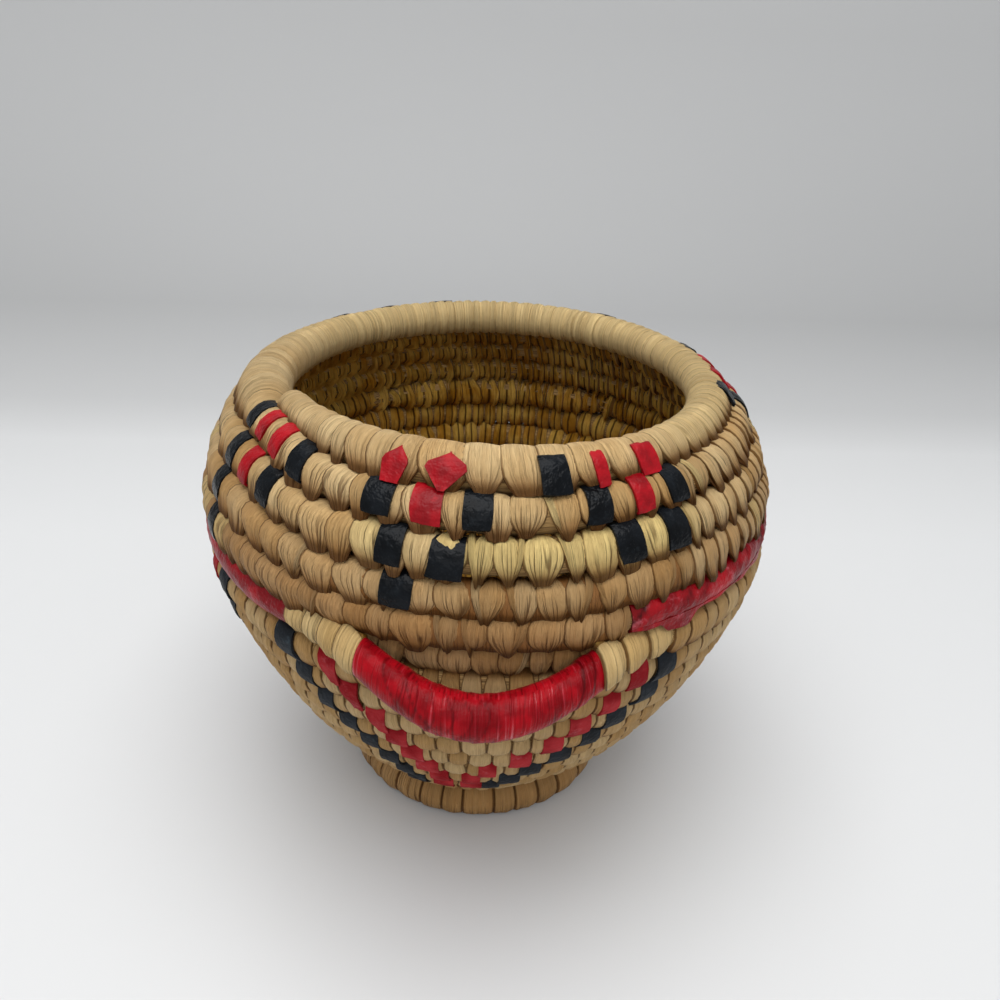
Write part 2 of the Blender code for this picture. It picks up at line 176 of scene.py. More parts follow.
BRICK_RUN = (
    (-0.10, 1.00, 0.00), (0.40, 0.94, 0.08), (0.82, 0.66, 0.28), (1.01, 0.26, 0.46),
    (1.03, -0.20, 0.64), (0.96, -0.60, 0.80), (0.84, -0.98, 0.94), (0.70, -1.26, 1.00),
    (0.10, -1.10, 1.00), (-0.50, -0.96, 0.94), (-0.92, -0.50, 0.74), (-1.04, 0.06, 0.50),
    (-0.72, 0.74, 0.20), (-0.10, 1.00, 0.00),
)
# A strand under a gut sleeve, close to the coil on the outside
SLEEVE_RUN = (
    (0.20, 0.76, 0.30), (0.60, 0.50, 0.45), (0.74, 0.00, 0.60), (0.60, -0.55, 0.80),
    (0.10, -0.98, 1.00), (-0.44, -0.95, 0.96), (-0.86, -0.58, 0.78), (-1.04, -0.08, 0.56),
    (-0.90, 0.46, 0.32), (-0.50, 0.86, 0.20), (-0.10, 0.84, 0.25), (0.20, 0.76, 0.30),
)
# A strand across its width: place from edge to edge, then height in strand thicknesses
STRAND_SECTION = ((-1.0, -1.8), (-0.97, -0.25), (-0.66, 0.85), (-0.22, 1.30), (0.25, 1.35), (0.68, 1.0),
                  (0.97, 0.10), (1.0, -1.8))
BRICK_SECTION = ((-1.0, -1.6), (-0.97, 0.0), (-0.45, 0.95), (0.40, 1.0), (0.97, 0.0), (1.0, -1.6))
UNDER_SECTION = ((-1.0, -1.6), (-1.0, -0.3), (-0.45, 0.1), (0.40, 0.1), (1.0, -0.3), (1.0, -1.6))
PATCH_SECTION = ((-1.0, -1.5), (-1.0, 0.9), (-0.6, 1.1), (-0.2, 1.0), (0.2, 1.15), (0.6, 1.0),
                 (1.0, 0.9), (1.0, -1.5))

# A gut patch round the coil's outward side, its ends turned down on to the strands
PATCH_RUN = (
    (0.36, 0.90, 0.36), (0.50, 1.08, 0.36), (0.74, 1.00, 0.36), (0.98, 0.75, 0.4), (1.15, 0.41, 0.42),
    (1.23, 0.06, 0.44), (1.24, -0.26, 0.45), (1.18, -0.56, 0.6), (1.09, -0.82, 0.8), (1.00, -1.02, 1.0),
    (0.80, -0.98, 1.0),
)
RIM_PATCH_RUN = (
    (1.08, 0.24, 0.0), (1.17, 0.14, 0.0), (1.23, -0.10, 0.18), (1.24, -0.34, 0.36), (1.20, -0.58, 0.52),
    (1.14, -0.82, 0.66), (1.07, -1.04, 0.78), (1.02, -1.24, 0.89), (0.98, -1.42, 1.0), (0.80, -1.36, 1.0),
)

# A stitch that narrows to a tail over the row below
TAIL_RUN = PATCH_RUN[:4] + (
    (1.15, 0.41, 0.46), (1.23, 0.06, 0.54), (1.24, -0.26, 0.64), (1.19, -0.60, 0.76), (1.14, -0.95, 0.86),
    (1.14, -1.30, 0.94), (1.10, -1.55, 1.0), (0.90, -1.50, 1.0),
)

# Where a strand lies outside or inside the basket: its distance outward in coil sizes
OUTSIDE = 0.5
INSIDE = -0.3
# Inside, the strands stand up more, are a little narrower and are split along the middle
INNER_CROWN = 2.2
INNER_GAP = 0.04
INNER_SPLIT = 0.3
INNER_SPLIT_HEIGHT = -0.3
# The stage where a ragged strand starts to be longer or shorter, the stages left to its tip,
# and how far a longer tip stands off the row below, as a share of its extra length
RAGGED_FROM = 0.8
RAGGED_STAGES = 0.2
RAGGED_STAND_OFF = 0.6

# How high these strands stand, as shares of the height of the ones above the handles
BRICK_CROWN = 1.3
BINDING_CROWN = 1.4
FOOT_CROWN = 0.6
# Folds sharper than this many degrees show as an edge
SHARP_FOLD = 50.0
GUT_SHARP_FOLD = 35.0

# Random looks of a strand: its width at the crest, its width at the tip and its taper, each
# where strands lap over each other and then where they stand apart like leaves
CREST_RANGES = ((0.80, 1.0), (0.35, 0.80))
TIP_RANGES = ((0.34, 0.62), (0.28, 0.56))
TAPER_RANGES = ((2.2, 3.0), (2.6, 3.8))
LAPPED_TILT = 0.85
LEAFY_TILT = 0.35
LEAFY_LAP = 1.30
BROAD_LAP = 1.22
LAPPED_BOW = 0.55
LAPPED_LEAN = 0.16
SPLIT_WIDTHS = (0.20, 0.34)
# A new leaf, of another tone, is started this often. A strand's tone is partly its leaf's
NEW_LEAF_CHANCE = 0.3
LEAF_TONE = 0.55
OWN_TONE = 0.45

# Where the strands above the handles are leafy, in turns from the front, and how much by row.
# On the right of the lower rows they lap over each other
LEAFY_MIDDLE = -0.055
LEAFY_HALF = 0.165
LEAFY_FADE = 0.10
LEAFY_BY_ROW = ((0.6, 0.5), (1.0, 0.8), (2.0, 1.0), (3.0, 1.0), (4.0, 0.95), (5.0, 0.95))
LAPPED_RIGHT = -0.09
LAPPED_FADE = 0.04
LAPPED_BY_ROW = ((2.2, 1.0), (3.2, 0.2))
SPLIT_BY_ROW = ((1.0, 0.45), (2.0, 0.60), (3.0, 0.60), (4.0, 0.25), (5.0, 0.05))
# The lower rows above the handles dried brown, and one stretch at the front dried yellow
BROWN_BY_ROW = ((1.2, 0.66), (1.6, 0.40), (2.1, 0.34), (2.3, 0.0))
YELLOW_MIDDLE = 2.955
YELLOW_HALF = 0.085
YELLOW_FADE = 0.03
UNDER_STRANDS_END = 2.35

# How much each mark on a grass strand darkens it: its fibres, which are the grass's own streaks,
# then painted shade at its tip and crest where it lies under a row, at the very ends, in its creases
# and pleats, and at its edges. DEEP is how dark the painted shade's colour is
FIBRE_SHADE = 0.26
TIP_SHADE = 0.78
CREST_SHADE = 0.62
END_SHADE = 0.70
CREASE_SHADE = 0.90
PLEAT_SHADE = 0.70
EDGE_SHADE = 0.84
DEEP = 0.22
# Inside the basket the grass is painted darker and stronger in colour: partly its own unfaded colour,
# partly painted shade. The split along an inner strand's middle is painted dark, as shade
INNER_TONE_AND_SHADE_DARK = (0.58, 0.25, 0.006)
INNER_TONE_AND_SHADE_LIGHT = (0.90, 0.54, 0.09)
SPLIT_DARK = (0.04, 0.012, 0.002)
SPLIT_SHADE = 0.85

# The gut of a handle: wraps from its middle to its end, then the place of its twist and of its
# flap, from -1 at the left to 1 at the right, and how far they stand out
FINE_WRAPS = 17.0
BROAD_WRAPS = 8.0
TWIST_PLACE = 0.46
TWIST_RISE = 0.075
FLAP_PLACE = -0.76
FLAP_RISE = 0.06

# The gut sleeves: how thick they are inside and how much thicker outside, in coil sizes, and
# the pace of their wrinkles, for each turn
SLEEVE_INNER_REACH = 0.84
SLEEVE_STANDS_OUT = 0.24
WRINKLES = 150.0
# The sleeve's loose edge is this thick, and small dents in the patches are this deep
SKIRT_THICKNESS = 0.0002
GUT_CRUMPLE = 0.00010

TURN = 2.0 * math.pi
WELD = 0.000001

# The photograph's view
CAMERA_PLACE = Vector((0.0, -0.2652, 0.2452))
CAMERA_DOWN = math.radians(29.855)
CAMERA_YAW = math.radians(0.870)
CAMERA_ROLL = math.radians(2.904)
CAMERA_LENS = 36.0
CAMERA_SENSOR = 36.0
CAMERA_NEAR = 0.01

# The paper sweep: shares of its length that lie flat, curve up and stand upright
SWEEP_FLAT = 0.4
SWEEP_BEND = 0.3
SWEEP_UPRIGHT = 0.3
SWEEP_FRONT = -2.0
SWEEP_START = 0.22
SWEEP_RADIUS = 0.20
SWEEP_HEIGHT = 1.2
SWEEP_WIDTH = 4.0
SWEEP_COLUMNS = 4
SWEEP_ROWS = 120
SWEEP_TURN = math.radians(-4.0)
# The paper turns from the light where it curves up: place along it, then its brightness
PAPER_SHADE = ((0.385, 1.0), (0.44, 0.72), (0.515, 0.53), (0.585, 0.58), (0.70, 0.69))

# Studio light. A lamp has its name, place, size and power
WORLD_COLOUR = (0.80, 0.81, 0.82)
WORLD_STRENGTH = 0.74
LAMPS = (("key_lamp", (-0.04, -0.12, 0.95), 0.8, 7.4), ("fill_lamp", (-0.05, -0.95, 0.8), 0.9, 2.2))
LAMP_AIM = Vector((0.0, 0.0, 0.07))


def ease(share):
    """Smooth step from 0 to 1."""
    share = np.clip(share, 0.0, 1.0)
    return share * share * (3.0 - 2.0 * share)


def wall_profile():
    """Lengths, radii and heights up the wall, from the base edge to past the mouth."""
    edge = Vector((BASE_EDGE_RADIUS, BASE_HEIGHT, 0.0))
    bowl = Vector((BOWL_RADIUS, BOWL_HEIGHT, 0.0))
    belly = Vector((BELLY_RADIUS, BELLY_HEIGHT, 0.0))
    mouth = Vector((MOUTH_RADIUS, MOUTH_HEIGHT, 0.0))
    up = Vector((0.0, 1.0, 0.0))
    flare = Vector((math.sin(BOWL_FLARE), math.cos(BOWL_FLARE), 0.0))
    turn_in = Vector((-math.sin(MOUTH_TURN_IN), math.cos(MOUTH_TURN_IN), 0.0))
    lower = (belly - bowl).length
    upper = (mouth - belly).length
    chain = [edge]
    chain += interpolate_bezier(bowl, bowl + flare * lower * NEAR_BOWL,
                                belly - up * lower * BELOW_BELLY, belly, LOWER_STEPS)
    chain += interpolate_bezier(belly, belly + up * upper * ABOVE_BELLY,
                                mouth - turn_in * upper * NEAR_MOUTH, mouth, UPPER_STEPS)[1:]
    chain = np.array(chain)[:, :2]
    lengths = np.concatenate(([0.0], np.cumsum(np.linalg.norm(np.diff(chain, axis=0), axis=1))))
    run_on = chain[-1] + (chain[-1] - chain[-2]) / (lengths[-1] - lengths[-2]) * PAST_MOUTH
    wall_length = lengths[-1]
    chain = np.vstack((chain, run_on))
    lengths = np.append(lengths, wall_length + PAST_MOUTH)
    return lengths, chain[:, 0], chain[:, 1], wall_length


LENGTHS, PROFILE_RADII, PROFILE_HEIGHTS, WALL_LENGTH = wall_profile()
WALL_ROWS = MOUTH_TURN - BASE_TURN
BASE_PITCH = 2.0 * WALL_LENGTH / (WALL_ROWS * (1.0 + PITCH_GROWTH))
PITCH_STEP = BASE_PITCH * (PITCH_GROWTH - 1.0) / WALL_ROWS
BASE_START = BASE_TURN - (BASE_EDGE_RADIUS - BASE_EDGE_STEP - BASE_START_RADIUS) / BASE_PITCH


def around_front(turns):
    """Distance in turns from the front, positive to the left."""
    return (turns + 0.5) % 1.0 - 0.5


def front_share(turns):
    """How much a place shares in the sag at the front left, at most 1, and below 0 where it rises."""
    around = around_front(turns)
    share = np.zeros_like(around)
    for (first, low), (last, high) in zip(SAG_AROUND, SAG_AROUND[1:]):
        share = share + (high - low) * ease((around - first) / (last - first))
    return share


def by_steps(place, steps):
    """A value that runs straight between steps, each a place and the value there."""
    return np.interp(place, *np.array(steps).T)


def coil_section(turn):
    """Radius and height of the middle of the coil at each turn."""
    turn = np.asarray(turn, float)
    rise = turn - BASE_TURN
    length = BASE_PITCH * rise + PITCH_STEP * rise * rise / 2.0
    length = length - FRONT_SAG * by_steps(turn, SAG_BY_ROW) * front_share(turn)
    behind = (1.0 - np.cos(TURN * turn)) / 2.0
    height = np.interp(length, LENGTHS, PROFILE_HEIGHTS)
    height = height - BACK_SAG * behind * height / MOUTH_HEIGHT
    radius = np.interp(length, LENGTHS, PROFILE_RADII)
    flat = BASE_EDGE_RADIUS + rise * BASE_PITCH - BASE_EDGE_STEP * ease(-2.0 * rise)
    return np.where(rise <= 0.0, flat, radius), np.where(rise <= 0.0, BASE_HEIGHT, height)


def coil_lean(turn):
    """Angle from upright to the line that joins a row to the rows beside it."""
    middle = np.clip(turn, BASE_TURN - 4.0, MOUTH_TURN - 0.3)
    low_radius, low_height = coil_section(middle - 0.5)
    high_radius, high_height = coil_section(middle + 0.5)
    return np.arctan2(high_radius - low_radius, high_height - low_height)


def coil_half(turn):
    """Half of the distance from a row to the rows beside it, so that rows touch."""
    radius, height = coil_section(turn)
    low_radius, low_height = coil_section(turn - 1.0)
    high_radius, high_height = coil_section(turn + 1.0)
    below = np.hypot(radius - low_radius, height - low_height)
    above = np.hypot(high_radius - radius, high_height - height)
    return np.minimum(below, above) / 2.0


def wall_path(turn):
    """Radius, height, lean and size of the coil of the wall and base."""
    radius, height = coil_section(turn)
    return radius, height, coil_lean(turn), coil_half(turn)


def rim_path(turn):
    """The last turn: swollen where the coil's end is sewn in beside it, thin at its blunt end."""
    radius, height, lean, plain = wall_path(turn)
    tail = 1.0 - (1.0 - RIM_TAIL_THINNING) * ease((turn - RIM_END + RIM_TAIL_TURNS) / RIM_TAIL_TURNS)
    swollen = ease((turn - RIM_START) / RIM_RISE_TURNS) * (1.0 - ease((turn - RIM_START) / RIM_SWELL_TURNS))
    fuller = RIM_FULLNESS * np.maximum(front_share(turn), 0.0)
    half = plain * tail + RIM_SWELL * swollen
    shift = half - plain - fuller
    half = half + fuller
    left = np.clip((RIM_END - turn) * TURN * radius / RIM_DOME, 0.0, 1.0)
    dome = RIM_END_SIZE + (1.0 - RIM_END_SIZE) * np.sqrt(1.0 - (1.0 - left) ** 2)
    return radius + shift * np.sin(lean), height + shift * np.cos(lean), lean, half * dome


def loop_path(centre):
    """The coil where it leaves the wall as a handle loop, round a middle turn."""
    def path(turn):
        radius, height, lean, plain = wall_path(turn)
        across = np.clip(np.abs(turn - centre) / LOOP_HALF_TURN, 0.0, 1.0)
        share = np.cos(math.pi * across / 2.0) ** 2
        half = plain + (HANDLE_DIAMETER / 2.0 - plain) * share
        return radius + HANDLE_REACH * share, height - HANDLE_DROP * share ** HANDLE_DROP_POWER, lean, half
    return path


def filler_path(centre):
    """The coil behind a handle loop, a little further in than the wall and thin at its ends."""
    def path(turn):
        radius, height, lean, half = wall_path(turn)
        edge = (FILLER_SHOWN - np.abs(turn - centre)) * TURN * radius
        size = FILLER_END_SIZE + FILLER_GROWTH * ease(edge / FILLER_END)
        return radius - FILLER_SET_IN, height, lean, half * size
    return path


FOOT_TOP = BASE_HEIGHT - float(coil_half(BASE_TURN))
FOOT_HALF = (FOOT_TOP + FOOT_FLAT_DEPTH) / 2.0


def foot_path(turn):
    """The coil under the base that the basket stands on."""
    turn = np.asarray(turn, float)
    even = np.ones_like(turn)
    return FOOT_RING_RADIUS * even, (FOOT_TOP - FOOT_HALF) * even, 0.0 * even, FOOT_HALF * even


def on_coil(path, turn, out, up):
    """World places at offsets outward and upward, in coil sizes, from the middle of a coil."""
    radius, height, lean, half = path(turn)
    reach = radius + half * (out * np.cos(lean) + up * np.sin(lean))
    level = height + half * (up * np.cos(lean) - out * np.sin(lean))
    return np.stack((-reach * np.sin(TURN * turn), -reach * np.cos(TURN * turn), level), axis=-1)


def turns_for(length, path, turn):
    """Share of a turn that a length takes up on the outward side of a coil."""
    radius, _, _, half = path(turn)
    return length / (TURN * (radius + half))


def deselect():
    """Leave edit mode and select nothing."""
    if bpy.context.object and bpy.context.object.mode != "OBJECT":
        bpy.ops.object.mode_set(mode="OBJECT")
    bpy.ops.object.select_all(action="DESELECT")


def select_only(piece):
    deselect()
    piece.select_set(True)
    bpy.context.view_layer.objects.active = piece


def get_places(sheet):
    """The places of a sheet's corners, one row for each."""
    flat = np.zeros(len(sheet.data.vertices) * 3)
    sheet.data.vertices.foreach_get("co", flat)
    return flat.reshape(-1, 3)


def grid_sheet(name, across, along, copies=1):
    """A flat grid with its copies side by side, and each corner's column, row and copy."""
    deselect()
    bpy.ops.mesh.primitive_grid_add(x_subdivisions=across, y_subdivisions=along, size=1.0)
    sheet = bpy.context.object
    sheet.name = name
    sheet.data.name = name
    places = get_places(sheet)
    column = np.rint((places[:, 0] + 0.5) * across).astype(int)
    row = np.rint((places[:, 1] + 0.5) * along).astype(int)
    if copies > 1:
        spread = sheet.modifiers.new("Copies", "ARRAY")
        spread.count = copies
        spread.relative_offset_displace = (1.1, 0.0, 0.0)
        bpy.ops.object.modifier_apply(modifier=spread.name)
    copy = np.repeat(np.arange(copies), len(places))
    return sheet, np.tile(column, copies), np.tile(row, copies), copy


def set_places(sheet, places):
    sheet.data.vertices.foreach_set("co", places.astype(np.float32).ravel())
    sheet.data.update()


def set_attribute(sheet, name, values):
    attribute = sheet.data.attributes.new(name, "FLOAT", "POINT")
    attribute.data.foreach_set("value", np.asarray(values, np.float32))


def stretch_uv(sheet, across, along):
    """Scale the sheet's own UV map, which runs from 0 to 1, to real lengths in metres."""
    layer = sheet.data.uv_layers.active.data
    flat = np.zeros(len(layer) * 2, np.float32)
    layer.foreach_get("uv", flat)
    flat = flat.reshape(-1, 2) * np.array((across, along), np.float32)
    layer.foreach_set("uv", flat.ravel())


def close_tube():
    """Weld the active grid's seam after it is rolled, fill its ends and turn its faces outward."""
    bpy.ops.object.mode_set(mode="EDIT")
    bpy.ops.mesh.select_all(action="SELECT")
    bpy.ops.mesh.remove_doubles(threshold=WELD)
    bpy.ops.mesh.select_all(action="DESELECT")
    bpy.ops.mesh.select_mode(type="EDGE")
    bpy.ops.mesh.select_non_manifold(extend=False)
    bpy.ops.mesh.fill_holes(sides=0)
    bpy.ops.mesh.select_all(action="SELECT")
    bpy.ops.mesh.normals_make_consistent(inside=False)
    bpy.ops.mesh.select_mode(type="VERT")
    bpy.ops.object.mode_set(mode="OBJECT")


def settle(piece, material, slot, *nodes, sharp=SHARP_FOLD):
    """Shade a finished piece, give it its finish and tie it to the frame."""
    select_only(piece)
    bpy.ops.object.shade_smooth_by_angle(angle=math.radians(sharp))
    piece.data.materials.clear()
    piece.data.materials.append(material)
    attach(piece, "root")
    if nodes:
        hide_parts(*nodes)


def even_tube(reach):
    """A shape for roll_tube: one reach all over and no creases."""
    def shape(turn, _):
        return np.full(len(turn), reach), np.zeros(len(turn))
    return shape


def roll_tube(name, path, start, end, stations, sides, shape):
    """A grid rolled round a coil and closed. The shape gives its reach and where it is creased, which its
    finish darkens as painted shade.
    """
    tube, column, row, _ = grid_sheet(name, stations, sides)
    turn = start + (end - start) * column / stations
    angle = TURN * (0.25 - row / sides)
    reach, creased = shape(turn, angle)
    set_places(tube, on_coil(path, turn, np.cos(angle) * reach, np.sin(angle) * reach))
    set_attribute(tube, "creased", creased)
    radius, _, _, half = path(np.linspace(start, end, 60))
    stretch_uv(tube, float(np.mean(radius)) * TURN * (end - start), float(np.mean(half)) * TURN)
    close_tube()
    return tube


def strand_places(path, start, end, width, spread, seed):
    """Middle and half width, in turns, of strands that fill a stretch of coil."""
    rng = np.random.RandomState(seed)
    edges = [start]
    while edges[-1] < end:
        here = edges[-1]
        wanted = width(here) if callable(width) else width
        jitter = 1.0 + spread * rng.uniform(-1.0, 1.0)
        edges.append(here + float(turns_for(wanted * jitter, path, here)))
    edges = np.array(edges)
    edges = start + (edges - start) * (end - start) / (edges[-1] - start)
    return (edges[1:] + edges[:-1]) / 2.0, (edges[1:] - edges[:-1]) / 2.0


class Strands:
    """Strands laid side by side: where each lies, how it leans and how it tapers.

    Middles, halves, lean, pull and bow are in turns. Lean slants a strand to the left from its
    crest down, pull draws its tip to the left and bow bends its middle that way. Crest and tip
    are its width where it appears at the top and where it ends, as shares of its full width,
    and a high taper keeps it full until near its tip. Tilt lifts its left edge over the next
    strand, in thicknesses, and skew slants both its ends, in steps of the run. Tone, gold and
    brown colour it, and seam is how dark the painted shade along its edges is.
    """

    PLAIN = {"crest": 1.0, "tip": 1.0, "lean": 0.0, "pull": 0.0, "tone": 0.5, "taper": 1.4, "tilt": 0.0,
             "skew": 0.0, "gold": 0.0, "brown": 0.0, "bow": 0.0, "seam": 1.0}
    OPEN_BY = 0.42
    CLOSE_FROM = 0.45
    CLOSE_STAGES = 0.55

    def __init__(self, middles, halves, **given):
        even = np.ones(len(np.atleast_1d(middles)))
        self.middles = middles * even
        self.halves = halves * even
        for name, value in {**self.PLAIN, **given}.items():
            setattr(self, name, value * even)

    def widths(self, strand, stage):
        """Width of a strand at a stage of its way, as a share of its full width."""
        opened = self.crest[strand] + (1.0 - self.crest[strand]) * ease(stage / self.OPEN_BY)
        closed = np.clip((stage - self.CLOSE_FROM) / self.CLOSE_STAGES, 0.0, 1.0) ** self.taper[strand]
        return opened * (1.0 - (1.0 - self.tip[strand]) * closed)

    def place(self, strand, across, stage, narrower):
        """Turn of a place across a strand, from -1 to 1, at a stage of its way."""
        share = self.widths(strand, stage) * (1.0 - narrower)
        sway = 2.0 * stage - 1.0
        shift = self.lean[strand] * sway + self.pull[strand] * stage ** 2 - self.bow[strand] * sway ** 2
        return self.middles[strand] + shift + self.halves[strand] * across * share, share


class Points(Strands):
    """Gut cut with straight sides: a point at its crest, widest in the middle."""

    def widths(self, strand, stage):
        opened = self.crest[strand] + (1.0 - self.crest[strand]) * stage / self.CLOSE_FROM
        closed = self.tip[strand] + (1.0 - self.tip[strand]) * (1.0 - stage) / self.CLOSE_STAGES
        return np.minimum(opened, closed)


def between(low, high, share):
    return low + (high - low) * share


def sewn_strands(middles, halves, seed, pairs=0.0, leafy=0.0, slant=0.14, lap=1.20):
    """Strands for a row of stitches, at random within ranges.

    Where they are leafy they stand apart, open from a narrow crest and end in a point.
    Elsewhere they lap over each other, stay broad and bow to the left. Pairs is the share of
    stitches that are a split leaf: a broad and a narrow strand that meet at the tip.
    """
    rng = np.random.RandomState(seed)
    even = np.ones(len(middles))
    rows = []
    leaf_tone = 0.5
    for middle, half, chance, open_leaf in zip(middles, halves, pairs * even, leafy * even):
        if rng.uniform() < NEW_LEAF_CHANCE:
            leaf_tone = rng.uniform()
        tone = LEAF_TONE * leaf_tone + OWN_TONE * rng.uniform()
        lean = half * rng.uniform(-slant, slant)
        crest, tip, taper = (between(rng.uniform(*lapped), rng.uniform(*open_range), open_leaf)
                             for lapped, open_range in (CREST_RANGES, TIP_RANGES, TAPER_RANGES))
        tilt = between(LAPPED_TILT, LEAFY_TILT, open_leaf)
        full = half * between(lap, LEAFY_LAP, open_leaf)
        skew = rng.uniform(-0.25, 0.25)
        if rng.uniform() < chance:
            side = 1.0 if rng.uniform() < 0.6 else -1.0
            narrow = rng.uniform(*SPLIT_WIDTHS)
            broad = 1.0 - narrow
            rows.append((middle + side * narrow * half, broad * full, crest * 0.85, tip * 0.5, lean,
                         -side * narrow * half * 0.7, tone, taper, tilt, skew))
            rows.append((middle - side * broad * half, narrow * half, 0.9, 0.35, lean,
                         side * broad * half * 0.75, rng.uniform(), taper, 0.0, skew))
        else:
            rows.append((middle, full, crest, tip, lean, half * rng.uniform(-0.22, 0.10), tone, taper,
                         tilt, skew))
    new_middles, new_halves, *looks = np.array(rows).T
    names = ("crest", "tip", "lean", "pull", "tone", "taper", "tilt", "skew")
    strands = Strands(new_middles, new_halves, **dict(zip(names, looks)))
    lapped = 1.0 - np.interp(strands.middles, middles, leafy * even)
    strands.bow = strands.halves * LAPPED_BOW * lapped
    strands.lean = strands.lean + strands.halves * LAPPED_LEAN * lapped
    return strands


def outward_of(run):
    """The direction away from the coil at each step of a run."""
    steps = np.gradient(run[:, :2], axis=0)
    outward = np.stack((-steps[:, 1], steps[:, 0]), axis=1)
    outward /= np.linalg.norm(outward, axis=1)[:, None]
    return outward * np.sign(np.sum(outward * run[:, :2], axis=1))[:, None]


def lay_strands(name, path, strands, run, section, thickness, seed, pleat=0.8, swell=0.02, crumple=0.0,
                inner=1.0, ragged=0.0):
    """Wrap the strands round the coil, all in one piece.

    Pleats are folds along a strand that deepen to its tip, swell lets strands stand out more
    or less than their neighbours, and crumples are small dents. Ragged strands end at
    different heights. Inner is 1 where the strands look different inside the basket, and 0
    where they look the same all round.
    """
    rng = np.random.RandomState(seed)
    count = len(strands.middles)
    field, column, row, copy = grid_sheet(name, len(section) - 1, len(run) - 1, count)
    run = np.array(run)
    across, crown = np.array(section)[column].T
    step = np.clip(row + strands.skew[copy] * across, 0.0, len(run) - 1.0)
    out, up, stage, outward, upward = (np.interp(step, np.arange(len(run)), part)
                                       for part in (*run.T, *outward_of(run).T))
    longer = rng.uniform(-0.6 * ragged, ragged, count)[copy]
    longer = longer * np.clip((stage - RAGGED_FROM) / RAGGED_STAGES, 0.0, 1.0) * (out > OUTSIDE)
    out = out + longer * RAGGED_STAND_OFF
    up = up - longer
    inside = (out < INSIDE) * inner
    turn, share = strands.place(copy, across, stage, inside * INNER_GAP)
    _, _, _, half = path(turn)
    folds = rng.uniform(-pleat, pleat * 0.3, (count, len(section)))[copy, column]
    folds = folds * ((column > 1) & (column < len(section) - 2)) * (0.15 + 1.1 * stage ** 2)
    height = crown + folds + strands.tilt[copy] * across * (crown > -1.0)
    height = height * (1.0 + (INNER_CROWN - 1.0) * inside * (crown > 0.0))
    height = np.where((inside > 0.0) & (np.abs(across) < INNER_SPLIT), INNER_SPLIT_HEIGHT, height)
    lift = height * thickness * np.clip(share, 0.3, 1.0) ** 0.6 / half
    lift = lift + rng.uniform(-crumple, crumple, len(lift)) / half * (crown > 0.0)
    puff = 1.0 + rng.uniform(-swell, swell, count)[copy]
    set_places(field, on_coil(path, turn, out * puff + outward * lift, up + upward * lift))
    marks = {"across": across, "along": stage + inside * 3.0, "inside": inside,
             "number": (np.arange(count) * 0.618 % 1.0)[copy], "pleated": np.full(len(copy), pleat)}
    marks.update({part: getattr(strands, part)[copy] for part in ("tone", "gold", "brown", "seam")})
    for mark, values in marks.items():
        set_attribute(field, mark, values)
    return field


class Signal:
    """An output of a node. Sums written with it add Math nodes to its material."""

    def __init__(self, finish, socket):
        self.finish = finish
        self.socket = socket

    def __add__(self, other):
        return self.finish.sum("ADD", self, other)

    def __radd__(self, other):
        return self.finish.sum("ADD", other, self)

    def __sub__(self, other):
        return self.finish.sum("SUBTRACT", self, other)

    def __rsub__(self, other):
        return self.finish.sum("SUBTRACT", other, self)

    def __mul__(self, other):
        return self.finish.sum("MULTIPLY", self, other)

    def __rmul__(self, other):
        return self.finish.sum("MULTIPLY", other, self)

    def __abs__(self):
        return self.finish.sum("ABSOLUTE", self, 0.0)


class Finish:
    """A material and the nodes that paint it."""

    def __init__(self, name):
        self.material = bpy.data.materials.new(name)
        self.material.use_nodes = True
        self.tree = self.material.node_tree
        self.shader = self.tree.nodes["Principled BSDF"]

    def node(self, kind, settings, values, output=0):
        """Add a node: its settings first, then the values or links of its sockets."""
        made = self.tree.nodes.new(kind)
        for setting, value in settings.items():
            setattr(made, setting, value)
        for socket, value in values.items():
            if isinstance(value, Signal):
                self.tree.links.new(value.socket, made.inputs[socket])
            else:
                made.inputs[socket].default_value = value
        return Signal(self, made.outputs[output])

    def sum(self, operation, first, second):
        return self.node("ShaderNodeMath", {"operation": operation}, {0: first, 1: second})

    def limit(self, value, low, high):
        """Stretch a value so that low gives 0 and high gives 1, and cut it off beyond."""
        return self.node("ShaderNodeMapRange", {"interpolation_type": "SMOOTHSTEP"},
                         {0: value, 1: low, 2: high, 3: 0.0, 4: 1.0})

    def mix(self, share, first, second):
        return self.node("ShaderNodeMix", {"data_type": "RGBA"}, {0: share, 6: first, 7: second}, 2)

    def attribute(self, name):
        return self.node("ShaderNodeAttribute", {"attribute_name": name}, {}, 2)

    def place(self):
        return self.node("ShaderNodeTexCoord", {}, {}, "Object")

    def uv(self):
        layer = self.node("ShaderNodeTexCoord", {}, {}, "UV")
        across = self.node("ShaderNodeSeparateXYZ", {}, {0: layer})
        return across, Signal(self, across.socket.node.outputs[1])

    def vector(self, x, y, z=0.0):
        return self.node("ShaderNodeCombineXYZ", {}, {0: x, 1: y, 2: z})

    def noise(self, vector, scale=1.0, detail=2.0, rough=0.5):
        return self.node("ShaderNodeTexNoise", {"noise_dimensions": "3D"},
                         {"Vector": vector, "Scale": scale, "Detail": detail, "Roughness": rough})

    def bump(self, height, distance, strength=1.0):
        return self.node("ShaderNodeBump", {},
                         {"Height": height, "Distance": distance, "Strength": strength})

    def show(self, socket, value):
        """Feed one socket of the shader, from a signal or as one value all over."""
        if isinstance(value, Signal):
            self.tree.links.new(value.socket, self.shader.inputs[socket])
        else:
            self.shader.inputs[socket].default_value = value


def opaque(colour, share=1.0):
    """A colour for a socket, darkened to a share."""
    return (*[part * share for part in colour], 1.0)


def shadow(colour, share):
    """A colour as it looks in a fold: darker and stronger."""
    return opaque([part * part for part in colour], share)


